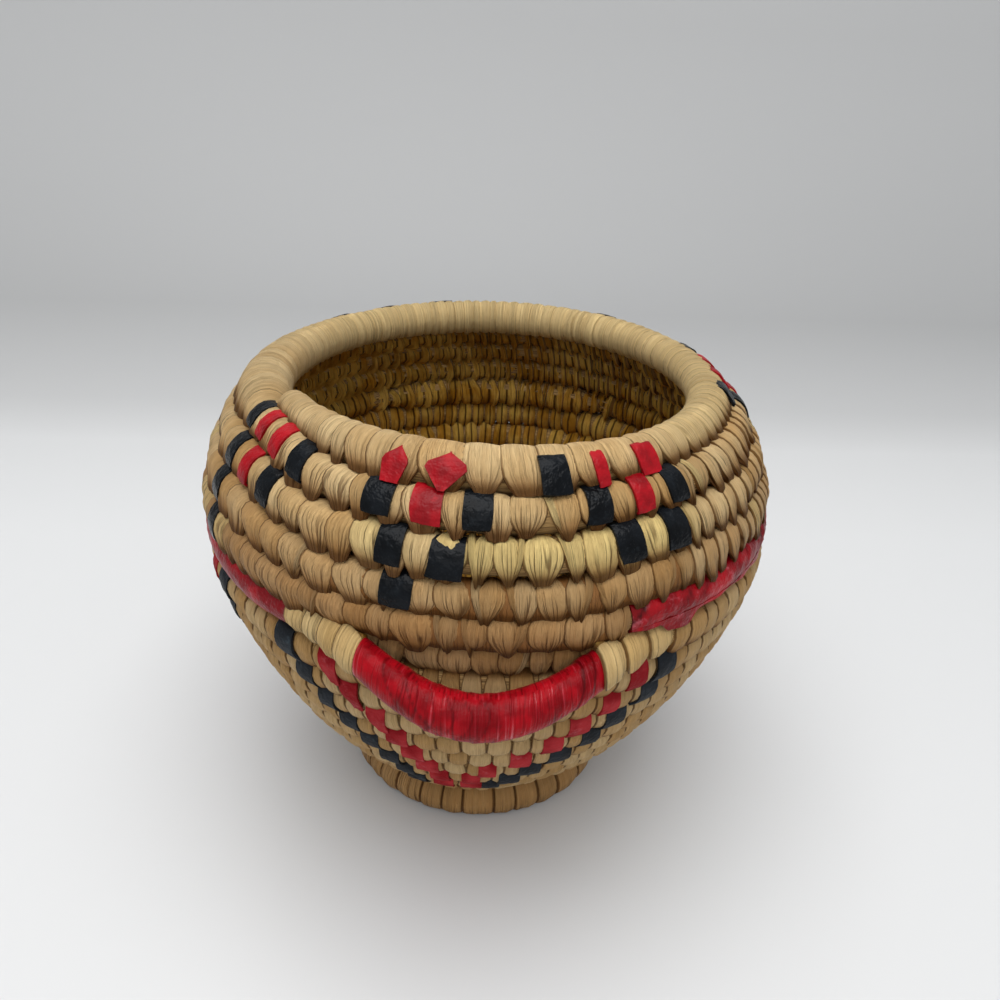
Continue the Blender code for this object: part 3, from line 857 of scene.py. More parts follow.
def grass_finish(name, light, dark, gold, brown):
    """Flat dried grass: fine fibres along the strand, and painted shade in the pleats that run to its tip,
    at its ends and along its edges.
    """
    finish = Finish(name)
    across = finish.attribute("across")
    along = finish.attribute("along")
    number = finish.attribute("number")
    shift = number * 71.0
    fibres = finish.noise(finish.vector(across * 19.0 + shift, along * 1.0, shift), detail=4.0, rough=0.7)
    folds = finish.noise(finish.vector(across * 2.4 + shift, along * 0.30, shift), detail=1.0)
    crease = 1.0 - finish.limit(abs(folds - 0.5), 0.004, 0.030)
    crease = crease * finish.limit(along + finish.attribute("tone") * 0.4, 0.50, 1.0)
    line = finish.sum("FRACT", across * 1.5 + folds * 1.6 + number * 7.0, 0.0)
    pleat = (1.0 - finish.limit(abs(line - 0.5), 0.015, 0.085)) * finish.limit(along, 0.50, 0.92)
    pleat = pleat * finish.attribute("pleated")
    crease = crease * finish.attribute("pleated")
    mottle = finish.noise(finish.place(), scale=75.0, detail=3.0)
    inside = finish.attribute("inside")
    share = finish.limit(finish.attribute("tone") * 0.7 + mottle * 0.6, 0.34, 1.0)
    colour = finish.mix(share, opaque(dark), opaque(light))
    colour = finish.mix(finish.attribute("gold"), colour, opaque(gold))
    colour = finish.mix(finish.attribute("brown"), colour, opaque(brown))
    shade = finish.limit(fibres * 0.75 + folds * 0.25, 0.36, 0.60)
    colour = finish.mix(FIBRE_SHADE - shade * FIBRE_SHADE, colour, shadow(dark, 0.6))
    # Painted shade: darker towards the tip, which goes under the row below, and at the crest, under the row
    # above; inside the basket only at the crest
    tucked_shade = finish.limit(along, 0.66, 1.0) * (1.0 - inside)
    tucked_shade = tucked_shade * TIP_SHADE + (1.0 - finish.limit(along, 0.03, 0.24)) * CREST_SHADE
    colour = finish.mix(tucked_shade, colour, shadow(dark, 0.58))
    # Painted shade at the very tip and the very crest, deep in the grooves between rows
    ends = finish.limit(along, 0.84, 0.97) + (1.0 - finish.limit(along, 0.02, 0.14))
    colour = finish.mix(ends * (1.0 - inside) * END_SHADE, colour, shadow(dark, DEEP))
    # Painted shade along the strand's edges, where it meets its neighbours; seam sets how dark it is
    edge = finish.limit(abs(across), 0.82, 0.94) * finish.attribute("seam")
    # Painted shade in the creases and pleats, which the bump also presses in
    colour = finish.mix(crease * CREASE_SHADE, colour, shadow(dark, DEEP))
    colour = finish.mix(pleat * (1.0 - inside) * PLEAT_SHADE, colour, shadow(dark, DEEP))
    colour = finish.mix(edge * EDGE_SHADE, colour, shadow(dark, DEEP))
    # Inside the basket the colour turns darker and stronger: partly the grass's own unfaded colour, partly
    # painted shade
    inner_tone_and_shade = finish.mix(finish.limit(mottle, 0.40, 0.60), opaque(INNER_TONE_AND_SHADE_DARK), opaque(INNER_TONE_AND_SHADE_LIGHT))
    colour = finish.mix(inside * (0.88 - edge * 0.8), colour, inner_tone_and_shade)
    # Painted shade in the split along an inner strand's middle
    split = inside * (1.0 - finish.limit(abs(across), 0.05, 0.20))
    colour = finish.mix(split * SPLIT_SHADE, colour, opaque(SPLIT_DARK))
    finish.show("Base Color", colour)
    finish.show("Roughness", 0.62 - shade * 0.12)
    relief = folds * 1.3 + fibres * 0.9 - crease * 0.9 - pleat * 0.7
    finish.show("Normal", finish.bump(relief, distance=0.0017))
    finish.show("Specular IOR Level", 0.14)
    return finish.material


def bundle_finish(name, light, dark):
    """The grass bundle inside: loose fibres that run along the coil."""
    finish = Finish(name)
    along, around = finish.uv()
    fibres = finish.noise(finish.vector(along * 60.0, around * 2600.0), detail=3.0, rough=0.6)
    lumps = finish.noise(finish.place(), scale=400.0)
    colour = finish.mix(finish.limit(fibres, 0.35, 0.65), opaque(dark), opaque(light))
    finish.show("Base Color", colour)
    finish.show("Roughness", 0.85)
    finish.show("Specular IOR Level", 0.2)
    finish.show("Normal", finish.bump(fibres + lumps * 0.4, distance=0.0006))
    return finish.material


def gut_finish(name, colour, deep, pale, wraps_per_metre, rough, gloss, wear_and_sheen):
    """Stretched gut: glossy, a little crumpled, paler where it is thin or rubbed and with painted sheen."""
    finish = Finish(name)
    place = finish.place()
    crumple = finish.noise(place, scale=260.0, detail=3.0, rough=0.6)
    cloud = finish.noise(place, scale=150.0)
    paint = finish.mix(finish.limit(cloud, 0.35, 0.65), opaque(deep), opaque(colour))
    # Pale patches: partly thin or rubbed gut, partly painted sheen
    rub_and_sheen = finish.limit(finish.noise(place, scale=220.0, detail=4.0, rough=0.75), 0.54, 0.78)
    paint = finish.mix(rub_and_sheen * wear_and_sheen, paint, opaque(pale))
    relief = crumple * 3.4
    if wraps_per_metre:
        along, around = finish.uv()
        bend = finish.noise(finish.vector(along * 90.0, around * 60.0), detail=1.0)
        wound = finish.vector(along * wraps_per_metre + bend * 3.0, around * 40.0)
        fine = finish.noise(wound, rough=0.7)
        relief = relief * 0.5 + fine * 1.3
        # Painted highlights on the crests of the fine wraps and painted shade in the grooves between them
        paint = finish.mix(finish.limit(fine, 0.56, 0.74) * 0.34, paint, opaque(pale))
        paint = finish.mix(finish.limit(fine, 0.46, 0.30) * 0.85, paint, opaque(deep, 0.6))
        finish.show("Coat Weight", finish.limit(fine, 0.55, 0.70) * finish.limit(cloud, 0.42, 0.62) * 0.9)
        finish.show("Coat Roughness", 0.18)
    # Painted shade where the tube is creased: at the drops of its wraps and wrinkles, and at the handle's
    # twist and flap
    paint = finish.mix(finish.attribute("creased") * 0.8, paint, opaque(deep, 0.30))
    finish.show("Base Color", paint)
    finish.show("Roughness", rough + cloud * 0.2)
    finish.show("Specular IOR Level", gloss)
    finish.show("Normal", finish.bump(relief, distance=0.0004, strength=0.7))
    return finish.material


def paper_finish(name, colour):
    """Pale paper, darker where its shade attribute says that it turns from the light."""
    finish = Finish(name)
    grain = finish.noise(finish.place(), scale=30.0, detail=3.0)
    paper = finish.mix(grain * 0.03, opaque(colour), opaque(colour, 0.9))
    finish.show("Base Color", finish.mix(finish.attribute("shade"), opaque((0.0, 0.0, 0.0)), paper))
    finish.show("Roughness", 0.5)
    finish.show("Specular IOR Level", 0.3)
    return finish.material


def finish_called(name, make, *values):
    """One material by its name, made the first time that a piece asks for it."""
    return bpy.data.materials.get(name) or make(name, *values)


def grass(context):
    colours = context.scene.basket_colours
    return finish_called("grass_strand", grass_finish, colours.grass_light, colours.grass_dark,
                         colours.grass_gold, colours.grass_brown)


def bundle(context):
    colours = context.scene.basket_colours
    return finish_called("grass_bundle_fibres", bundle_finish, colours.bundle_light, colours.bundle_dark)


def red_gut(context, kind="flat"):
    """Red gut by its use: flat patches, wrapped handles, long sleeves or dull stitches.

    Each has its colour, its deep and pale colours, wraps per metre, roughness, gloss and share of wear and
    painted sheen.
    """
    red = Vector(context.scene.basket_colours.red_gut)
    dull = red * 0.62 + Vector((0.05, 0.02, 0.02))
    kinds = {"flat": (red * 0.74, red * 0.40, (0.60, 0.02, 0.03), 0.0, 0.28, 0.16, 0.50),
             "wrapped": (red * 0.66, red * 0.34, (0.60, 0.05, 0.08), 1500.0, 0.22, 0.09, 0.10),
             "sleeve": (red * 0.70, red * 0.34, (0.58, 0.14, 0.17), 0.0, 0.26, 0.18, 0.70),
             "stitch": (dull, red * 0.42, (0.50, 0.12, 0.14), 0.0, 0.60, 0.12, 0.60)}
    return finish_called("red_gut_" + kind, gut_finish, *kinds[kind])


def black_gut(context, kind="flat"):
    """Black gut by its use: flat patches or dull stitches, described as red gut is."""
    black = Vector(context.scene.basket_colours.black_gut)
    # Black gut's pale colour is a painted bluish-grey sheen on its facets
    kinds = {"flat": (black * 0.7, black * 0.3, (0.028, 0.036, 0.044), 0.0, 0.16, 0.10, 0.32),
             "stitch": (black * 1.6, black * 0.8, (0.05, 0.075, 0.09), 0.0, 0.45, 0.12, 0.60)}
    return finish_called("black_gut_" + kind, gut_finish, *kinds[kind])


def colour_property(name, description, default):
    return bpy.props.FloatVectorProperty(name=name, description=description, default=default,
                                         size=3, min=0.0, max=1.0, subtype="COLOR")


def length_property(name, description, default):
    return bpy.props.FloatProperty(name=name, description=description, default=default,
                                   min=0.0001, unit="LENGTH", precision=5)


class BasketSizes(bpy.types.PropertyGroup):
    """Sizes of the sewing and of the gut."""

    upper_strand: length_property("Upper strand", "Width of a strand above the handles", 0.0072)
    back_strand: length_property("Back strand", "Width of a strand above the handles at the back", 0.0050)
    lower_strand: length_property("Lower strand", "Width of a strand below the handles", 0.0058)
    rim_strand: length_property("Rim strand", "Width of a strand at the front of the rim", 0.0090)
    back_rim_strand: length_property("Back rim strand", "Width of a strand at the back of the rim", 0.0045)
    binding_strand: length_property("Binding strand", "Width of a strand at a handle's foot", 0.0085)
    foot_strand: length_property("Foot strand", "Width of a strand on the foot ring", 0.0080)
    strand_thickness: length_property("Strand thickness", "Height of a strand's crown", 0.00058)
    gut_thickness: length_property("Gut thickness", "Height of a gut patch over the strands", 0.00030)
    patch_width: length_property("Patch width", "Width of a gut patch above the handles", 0.0074)
    stitch_width: length_property("Stitch width", "Width of a gut stitch below the handles", 0.0057)


class BasketColours(bpy.types.PropertyGroup):
    """Colours of the grass and of the gut."""

    grass_light: colour_property("Light grass", "The palest dried strands", (1.0, 0.74, 0.385))
    # Dark grass also gives the colour of the painted shade on the strands
    grass_dark: colour_property("Dark grass", "The darker dried strands", (0.70, 0.42, 0.16))
    grass_gold: colour_property("Golden grass", "Strands that dried yellow", (1.0, 0.75, 0.30))
    grass_brown: colour_property("Brown grass", "Strands that dried brown", (0.47, 0.22, 0.075))
    bundle_light: colour_property("Light fibres", "Fibres of the bundle", (0.50, 0.31, 0.12))
    bundle_dark: colour_property("Dark fibres", "Gaps between the fibres", (0.16, 0.09, 0.035))
    red_gut: colour_property("Red gut", "The red gut", (0.50, 0.004, 0.012))
    black_gut: colour_property("Black gut", "The black gut", (0.008, 0.010, 0.013))
    floor: colour_property("Floor", "The floor under the basket", (0.68, 0.685, 0.688))


class BASKET_OT_bundle(bpy.types.Operator):
    """Lay the grass bundle along the whole coil"""

    bl_idname = "basket.bundle"
    bl_label = "Bundle"

    def execute(self, context):
        stretches = (
            ("base_bundle", wall_path, BASE_START - BUNDLE_TUCK, BASE_TURN, 200, "base_coil"),
            ("lower_wall_bundle", wall_path, BASE_TURN, -LOOP_HALF_TURN, 560, "lower_wall_coil"),
            ("upper_wall_bundle", wall_path, 0.5 + LOOP_HALF_TURN, RIM_START, 260, "upper_wall_coil"),
            ("rim_bundle", rim_path, RIM_START, RIM_END, 120, "rim_coil"),
            ("front_filler_bundle", filler_path(0.0), -FILLER_SHOWN, FILLER_SHOWN, 36, "front_filler_coil"),
            ("back_filler_bundle", filler_path(0.5), 0.5 - FILLER_SHOWN, 0.5 + FILLER_SHOWN, 36,
             "back_filler_coil"),
            ("left_side_grass", wall_path, LOOP_HALF_TURN, 0.5 - LOOP_HALF_TURN, 40, "left_side_bundle"),
            ("foot_ring_bundle", foot_path, 0.5, 1.5, 96, "foot_ring_coil"),
        )
        for name, path, start, end, stations, node in stretches:
            reach = FOOT_BUNDLE_REACH if path is foot_path else BUNDLE_REACH
            tube = roll_tube(name, path, start, end, stations, BUNDLE_SIDES, even_tube(reach))
            settle(tube, bundle(context), "grass_bundle", node)
        return {"FINISHED"}


def leafiness(turns):
    """Where the strands stand apart like leaves: at the front of the rows above the handle."""
    around = around_front(turns)
    front = ease((LEAFY_HALF - np.abs(around - LEAFY_MIDDLE)) / LEAFY_FADE)
    lapped = ease((LAPPED_RIGHT - around) / LAPPED_FADE) * by_steps(turns, LAPPED_BY_ROW)
    return front * (1.0 - lapped) * by_steps(turns, LEAFY_BY_ROW)


def pair_chance(turns):
    """Share of split leaves: they are most common at the front of the middle rows."""
    return 0.08 + leafiness(turns) * by_steps(turns, SPLIT_BY_ROW)


class BASKET_OT_wall_strands(bpy.types.Operator):
    """Sew the base and the wall with flat strands"""

    bl_idname = "basket.wall_strands"
    bl_label = "Wall strands"

    def execute(self, context):
        sizes = context.scene.basket_sizes
        material = grass(context)
        self.sew_bricks(sizes, material, "base_strands", BASE_START, BASE_TURN, 11)
        self.sew_bricks(sizes, material, "lower_wall_strands", BASE_TURN, -LOOP_HALF_TURN, 21)
        self.sew_upper(sizes, material)
        self.sew_filler(sizes, material, "front", 0.0, 41)
        self.sew_filler(sizes, material, "back", 0.5, 43)
        return {"FINISHED"}

    def sew_bricks(self, sizes, material, name, start, end, seed):
        """Short broad strands side by side, like bricks."""
        middles, halves = strand_places(wall_path, start, end, sizes.lower_strand, spread=0.18, seed=seed)
        rng = np.random.RandomState(seed + 1)
        count = len(middles)
        strands = Strands(middles, halves, crest=rng.uniform(0.66, 0.96, count),
                          tip=rng.uniform(0.84, 1.0, count), lean=halves * rng.uniform(-0.14, 0.14, count),
                          tone=rng.uniform(0.0, 1.0, count), taper=2.0,
                          skew=rng.uniform(-0.35, 0.35, count), gold=0.12, brown=0.25)
        piece = lay_strands(name, wall_path, strands, BRICK_RUN, BRICK_SECTION,
                            sizes.strand_thickness * BRICK_CROWN, seed=seed + 2, pleat=0.12)
        settle(piece, material, "natural_grass")

    def sew_upper(self, sizes, material):
        """The rows above the handles: leaves at the front, narrow lapped strands at the back."""
        thickness = sizes.strand_thickness

        def width(turn):
            behind = ease((abs(around_front(turn)) - 0.22) / 0.16)
            right = ease((-0.085 - around_front(turn)) / 0.03)
            broader = 1.0 + 0.12 * float(leafiness(turn))
            return between(sizes.upper_strand, sizes.back_strand, max(behind, float(right) * 0.8)) * broader

        middles, halves = strand_places(wall_path, RIGHT_SLEEVE_END, RIM_START, width, spread=0.24, seed=31)
        strands = sewn_strands(middles, halves, seed=32, pairs=pair_chance(middles),
                               leafy=leafiness(middles))
        yellow = ease((YELLOW_HALF - np.abs(strands.middles - YELLOW_MIDDLE)) / YELLOW_FADE)
        strands.gold = np.maximum(yellow * 0.95, (strands.tone > 0.84) * 0.6)
        strands.brown = by_steps(strands.middles, BROWN_BY_ROW) * (1.0 - strands.gold)
        piece = lay_strands("upper_wall_strands", wall_path, strands, SEWN_RUN, STRAND_SECTION, thickness,
                            seed=33, ragged=0.24)
        settle(piece, material, "natural_grass")
        shown = (leafiness(middles) > 0.25) & (middles < UNDER_STRANDS_END)
        under = Strands(middles[shown] + halves[shown], halves[shown] * 0.98, crest=0.95, tip=0.62,
                        taper=2.0, tone=0.0, brown=1.0)
        piece = lay_strands("upper_wall_under_strands", wall_path, under, BRICK_RUN, UNDER_SECTION,
                            thickness, seed=35)
        settle(piece, material, "natural_grass")

    def sew_filler(self, sizes, material, side, centre, seed):
        """The strands of the coil behind a handle loop."""
        path = filler_path(centre)
        middles, halves = strand_places(path, centre - FILLER_SHOWN, centre + FILLER_SHOWN,
                                        sizes.upper_strand, spread=0.2, seed=seed)
        strands = sewn_strands(middles, halves, seed=seed + 1, pairs=0.5, leafy=0.7)
        strands.brown[:] = 0.45
        piece = lay_strands(side + "_filler_strands", path, strands, SEWN_RUN, STRAND_SECTION,
                            sizes.strand_thickness, seed=seed + 2)
        settle(piece, material, "natural_grass")


class BASKET_OT_rim(bpy.types.Operator):
    """Wrap the rim, broad at the front and in narrow bands at the back"""

    bl_idname = "basket.rim"
    bl_label = "Rim"

    def execute(self, context):
        sizes = context.scene.basket_sizes

        def width(turn):
            behind = (1.0 - math.cos(TURN * turn)) / 2.0
            behind = max(behind, float(ease((-0.09 - around_front(turn)) / 0.05)))
            left = float(ease((around_front(turn) - 0.05) / 0.03))
            return between(sizes.rim_strand, sizes.back_rim_strand, behind) * (1.0 - 0.32 * left)

        middles, halves = strand_places(rim_path, RIM_START, RIM_END, width, spread=0.25, seed=51)
        strands = sewn_strands(middles, halves, seed=52, leafy=leafiness(middles), slant=0.20,
                               lap=BROAD_LAP)
        around = around_front(strands.middles)
        behind = np.maximum(ease((np.abs(around) - 0.24) / 0.16), ease((-0.10 - around) / 0.05) * 0.8)
        strands.crest[:] = 1.0
        strands.tone = between(strands.tone, 1.0, 0.4 + behind * 0.5)
        strands.seam = 1.0 - behind * 0.75
        strands.gold = behind * 0.35
        strands.tilt = strands.tilt * (1.0 - behind * 0.7)
        piece = lay_strands("rim_strands", rim_path, strands, RIM_RUN, STRAND_SECTION,
                            sizes.strand_thickness, seed=53, pleat=0.4, inner=0.0)
        settle(piece, grass(context), "natural_grass")
        return {"FINISHED"}


def round_run(steps):
    """A run right round a free coil, whose stage is 1 underneath."""
    run = []
    for step in range(steps + 1):
        angle = TURN * (0.35 - step / steps)
        under = (1.0 - math.sin(angle)) / 2.0
        run.append((math.cos(angle), math.sin(angle), 0.45 + 0.55 * under ** 2))
    return tuple(run)


def ridges(phase, sharp):
    """Wraps that each rise slowly and drop at their edge: their height, and where they drop."""
    share = phase % 1.0
    height = np.minimum(share / (1.0 - sharp), (1.0 - share) / sharp) - 0.5
    return height, ease((0.10 - np.minimum(share, 1.0 - share)) / 0.08)


class BASKET_OT_handles(bpy.types.Operator):
    """Wrap both handle loops in gut, and bind their feet with strands"""

    bl_idname = "basket.handles"
    bl_label = "Handles"

    def execute(self, context):
        for side, centre, seed in (("front", 0.0, 61), ("back", 0.5, 71)):
            path = loop_path(centre)
            self.wrap_gut(context, side, path, centre, seed)
            for part, first, last in (("start", -LOOP_HALF_TURN, -GUT_HALF_TURN),
                                      ("end", GUT_HALF_TURN, LOOP_HALF_TURN)):
                self.bind(context, side + "_handle_" + part, path, centre + first, centre + last, seed)
        return {"FINISHED"}

    def wrap_gut(self, context, side, path, centre, seed):
        """Broad smooth wraps on the left, a twist where the strip was joined, then fine wraps."""
        phases = np.random.RandomState(seed).uniform(0.0, TURN, 6)

        def wrapped(turn, angle):
            along = (turn - centre) / GUT_HALF_TURN
            wave = 0.012 * np.sin(3.0 * angle + 9.0 * along + phases[0])
            wound = (along + 0.05 * np.sin(angle + 0.6) + wave) * FINE_WRAPS
            fine, fine_drop = ridges(wound + 0.35 * np.sin(31.0 * along + phases[1]), sharp=0.3)
            wound = (along + 0.14 * np.sin(angle + 0.9) + wave) * BROAD_WRAPS
            broad, broad_drop = ridges(wound + phases[2], sharp=0.12)
            smooth = ease((along + 0.22) / 0.10) * ease((0.66 - along) / 0.12)
            tight = ease((-0.10 - along) / 0.15) + 0.35 * ease((along - 0.6) / 0.15)
            lumps = 0.012 * np.sin(11.0 * along + 1.5 * np.sin(angle + phases[3]) + phases[4])
            from_twist = along - TWIST_PLACE - 0.18 * np.sin(angle)
            twist = TWIST_RISE * np.exp(-(from_twist / 0.07) ** 2)
            from_flap = along - FLAP_PLACE + 0.05 * np.sin(angle)
            flap = FLAP_RISE * ease(-from_flap / 0.015) - 0.05 * ease((-0.09 - from_flap) / 0.03)
            # Painted shade lines at the flap's edges and either side of the twist; with the drops of the
            # wraps they make the creased share
            flap_and_twist_shade = np.exp(-(from_flap / 0.012) ** 2) + 0.7 * np.exp(-((from_flap + 0.10) / 0.012) ** 2)
            flap_and_twist_shade = flap_and_twist_shade + 0.8 * np.exp(-((np.abs(from_twist) - 0.10) / 0.015) ** 2)
            hang = 0.035 * np.cos(math.pi * along * 0.5) * np.maximum(-np.sin(angle), 0.0)
            reach = 0.99 + fine * tight * 0.024 + broad * smooth * 0.045 + lumps + twist + flap + hang
            return reach, np.clip(fine_drop * tight * 0.45 + broad_drop * smooth * 0.6 + flap_and_twist_shade, 0.0, 1.0)

        gut = roll_tube(side + "_handle_gut", path, centre - GUT_HALF_TURN, centre + GUT_HALF_TURN,
                        stations=380, sides=32, shape=wrapped)
        settle(gut, red_gut(context, "wrapped"), "red_gut",
               side + "_handle_gut_wrap", side + "_handle_bundle")

    def bind(self, context, name, path, start, end, seed):
        """Natural strands round one foot of a handle, over its grass."""
        sizes = context.scene.basket_sizes
        core = roll_tube(name + "_grass", path, start, end, stations=16, sides=BUNDLE_SIDES,
                         shape=even_tube(BINDING_CORE_REACH))
        settle(core, bundle(context), "grass_bundle", name + "_binding")
        middles, halves = strand_places(path, start, end, sizes.binding_strand, spread=0.12, seed=seed + 2)
        strands = sewn_strands(middles, halves, seed=seed + 3, slant=0.15, lap=BROAD_LAP)
        strands.crest[:] = 1.0
        strands.gold[:] = 0.3
        piece = lay_strands(name + "_strands", path, strands, round_run(16), STRAND_SECTION,
                            sizes.strand_thickness * BINDING_CROWN, seed=seed + 4)
        settle(piece, grass(context), "natural_grass")


class BASKET_OT_sleeves(bpy.types.Operator):
    """Pull the gut sleeves over the coil between the handles"""

    bl_idname = "basket.sleeves"
    bl_label = "Sleeves"

    def execute(self, context):
        self.pull_on(context, "left", LOOP_HALF_TURN, 0.5 - LOOP_HALF_TURN, seed=81, rough=0.35)
        self.pull_on(context, "right", 0.5 + LOOP_HALF_TURN, RIGHT_SLEEVE_END, seed=82, rough=1.5)
        return {"FINISHED"}

    def pull_on(self, context, side, start, end, seed, rough):
        """One sleeve, its strands on the inside of the basket and, on the right, its loose edge."""
        sizes = context.scene.basket_sizes
        phases = np.random.RandomState(seed).uniform(0.0, TURN, 8)

        def wrinkled(turn, angle):
            along = turn * WRINKLES + 2.4 * np.sin(angle + 0.5)
            strength = 0.6 + 0.4 * np.sin(along * 0.31 + phases[0])
            broad, broad_drop = ridges(along * 0.33 + 0.3 * np.sin(along * 0.9 + phases[1]), sharp=0.2)
            narrow, narrow_drop = ridges(along * 0.71 - 0.5 * np.sin(angle * 2.0 + phases[2]), sharp=0.35)
            small = 0.010 * np.sin(along * 4.3 + 3.0 * np.cos(angle) + phases[3])
            outward = ease((np.cos(angle) + 0.45) / 0.30)
            folds = (broad * 0.075 + narrow * 0.045) * strength * rough
            # Painted shade at the drops of the wrinkles
            creased = (broad_drop * 0.7 + narrow_drop * 0.35) * strength * rough
            return SLEEVE_INNER_REACH + (SLEEVE_STANDS_OUT + folds + small) * outward, creased

        sleeve = roll_tube(side + "_sleeve_gut", wall_path, start, end, stations=360, sides=24,
                           shape=wrinkled)
        settle(sleeve, red_gut(context, "sleeve"), "red_gut", side + "_gut_sleeve")
        if side == "right":
            self.hang_skirt(context, start, end, phases)
        middles, halves = strand_places(wall_path, start, end, sizes.back_strand, spread=0.2, seed=seed + 3)
        strands = sewn_strands(middles, halves, seed=seed + 4)
        strands.brown[:] = 0.3
        piece = lay_strands(side + "_sleeve_inner_strands", wall_path, strands, SLEEVE_RUN, BRICK_SECTION,
                            sizes.strand_thickness, seed=seed + 5)
        settle(piece, grass(context), "natural_grass")

    def hang_skirt(self, context, start, end, phases):
        """The thin ragged edge of the gut over the top of the row below, with one loose corner."""
        stations = 240
        steps_down = 4
        skirt, column, row, _ = grid_sheet("right_sleeve_gut_skirt", stations, steps_down)
        turn = start + (end - start) * column / stations
        share = row / steps_down
        along = turn * WRINKLES
        depth = 0.20 + 0.09 * np.sin(along * 0.5 + phases[4]) + 0.05 * np.sin(along * 1.7 + phases[5])
        corner = ease((turn - end + 0.042) / 0.008) * ease((end - 0.016 - turn) / 0.006)
        fall = share * (depth + 0.52 * corner)
        out = 1.00 - 0.02 * fall + 0.03 * np.sin(along * 1.7 + phases[7]) * share
        set_places(skirt, on_coil(wall_path, turn, out, -0.42 - 1.05 * fall))
        thick = skirt.modifiers.new("Thickness", "SOLIDIFY")
        thick.thickness = SKIRT_THICKNESS
        thick.offset = 0.0
        bpy.ops.object.modifier_apply(modifier=thick.name)
        settle(skirt, red_gut(context, "sleeve"), "red_gut")


# What each letter of the pattern stands for: its gut and its slot
GUTS = {"R": (red_gut, "red_gut"), "K": (black_gut, "black_gut")}


class BASKET_OT_patches(bpy.types.Operator):
    """Fold the gut patches of the upper pattern over the coil"""

    bl_idname = "basket.patches"
    bl_label = "Patches"

    def execute(self, context):
        rng = np.random.RandomState(100)
        for figure, rows in PATTERN.items():
            for row, angles, colours, widths in rows:
                for number, patch in enumerate(zip(angles, colours, widths), start=1):
                    node = "%s_patch_row%d_%d" % (figure, row, number)
                    self.fold_patch(context, node, row, number, *patch, rng)
        return {"FINISHED"}

    def fold_patch(self, context, node, row, number, angle, colour, width, rng):
        """One patch: those at the front left of the rim are cut to a point."""
        sizes = context.scene.basket_sizes
        turn = row + angle / 360.0
        on_rim = turn > RIM_START
        path = rim_path if on_rim else wall_path
        half = turns_for(sizes.patch_width * width / 2.0, path, turn)
        if row == MOUTH_TURN and angle > 0.0:
            tip = 0.62 if number == 1 else 0.12
            strands = Points(turn, half * 1.12, crest=0.04, tip=tip, lean=half * 0.1)
        else:
            strands = Strands(turn, half, tip=rng.uniform(0.84, 1.04), lean=half * rng.uniform(-0.22, 0.22),
                              skew=rng.uniform(-0.45, 0.45))
        drop = (0.0, PATCH_DROPS.get(node, 0.0), 0.0)
        run = np.array(RIM_PATCH_RUN if on_rim else PATCH_RUN) - drop
        patch = lay_strands(node + "_gut", path, strands, run, PATCH_SECTION, sizes.gut_thickness,
                            seed=rng.randint(10000), pleat=0.0, swell=0.01, crumple=GUT_CRUMPLE)
        make, slot = GUTS[colour]
        settle(patch, make(context), slot, node, sharp=GUT_SHARP_FOLD)


class BASKET_OT_zigzag(bpy.types.Operator):
    """Sew the red and black zigzag round the lower wall"""

    bl_idname = "basket.zigzag"
    bl_label = "Zigzag"

    def execute(self, context):
        stitches = {"red": [], "black": []}
        for middle in ZIGZAG_PLACES:
            for row, left_red, left_black, right_red, right_black in ZIGZAG:
                for colour, angle, side in (("red", left_red, -1.0), ("red", right_red, 1.0),
                                            ("black", left_black, -1.0), ("black", right_black, 1.0)):
                    stitches[colour].append((row + (angle + middle) / 360.0, side))
        self.sew(context, "red", stitches["red"], red_gut(context, "stitch"), slant=0.10, seed=91)
        self.sew(context, "black", stitches["black"], black_gut(context, "stitch"), slant=0.42, seed=92)
        return {"FINISHED"}

    def sew(self, context, colour, stitches, material, slant, seed):
        """The stitches of one colour, and the ones at the left that narrow to a tail."""
        sizes = context.scene.basket_sizes
        middles, sides = np.array(stitches).T
        rng = np.random.RandomState(seed)
        count = len(middles)
        halves = turns_for(sizes.stitch_width / 2.0, wall_path, middles) * rng.uniform(0.85, 1.1, count)
        tip = rng.uniform(0.78, 1.0, count)
        lean = halves * (sides * slant + rng.uniform(-0.12, 0.12, count))
        skew = rng.uniform(-0.5, 0.5, count)
        tailed = (sides < 0.0) & (colour == "red") & (around_front(middles) > TAILS_FROM)
        for part, chosen, run, narrower, pulled in (("stitches", ~tailed, PATCH_RUN, 1.0, 0.0),
                                                    ("tails", tailed, TAIL_RUN, 0.5, -0.45)):
            if chosen.any():
                strands = Strands(middles[chosen], halves[chosen], tip=tip[chosen] * narrower,
                                  lean=lean[chosen], pull=halves[chosen] * pulled, taper=0.9,
                                  skew=skew[chosen])
                piece = lay_strands("zigzag_%s_%s" % (colour, part), wall_path, strands, run, PATCH_SECTION,
                                    sizes.gut_thickness, seed=seed + 5, pleat=0.0, crumple=GUT_CRUMPLE)
                settle(piece, material, colour + "_gut", sharp=GUT_SHARP_FOLD)


class BASKET_OT_foot(bpy.types.Operator):
    """Wrap the foot ring in broad strands"""

    bl_idname = "basket.foot"
    bl_label = "Foot ring"

    def execute(self, context):
        sizes = context.scene.basket_sizes
        middles, halves = strand_places(foot_path, 0.5, 1.5, sizes.foot_strand, spread=0.32, seed=95)
        count = len(middles)
        strands = Strands(middles, halves, tone=np.random.RandomState(96).uniform(0.0, 1.0, count),
                          skew=np.random.RandomState(98).uniform(-0.5, 0.5, count), gold=0.45, brown=0.74)
        piece = lay_strands("foot_ring_strands", foot_path, strands, round_run(16), STRAND_SECTION,
                            sizes.strand_thickness * FOOT_CROWN, seed=97)
        places = get_places(piece)
        places[:, 2] = np.maximum(places[:, 2], 0.0)
        set_places(piece, places)
        settle(piece, grass(context), "natural_grass")
        return {"FINISHED"}


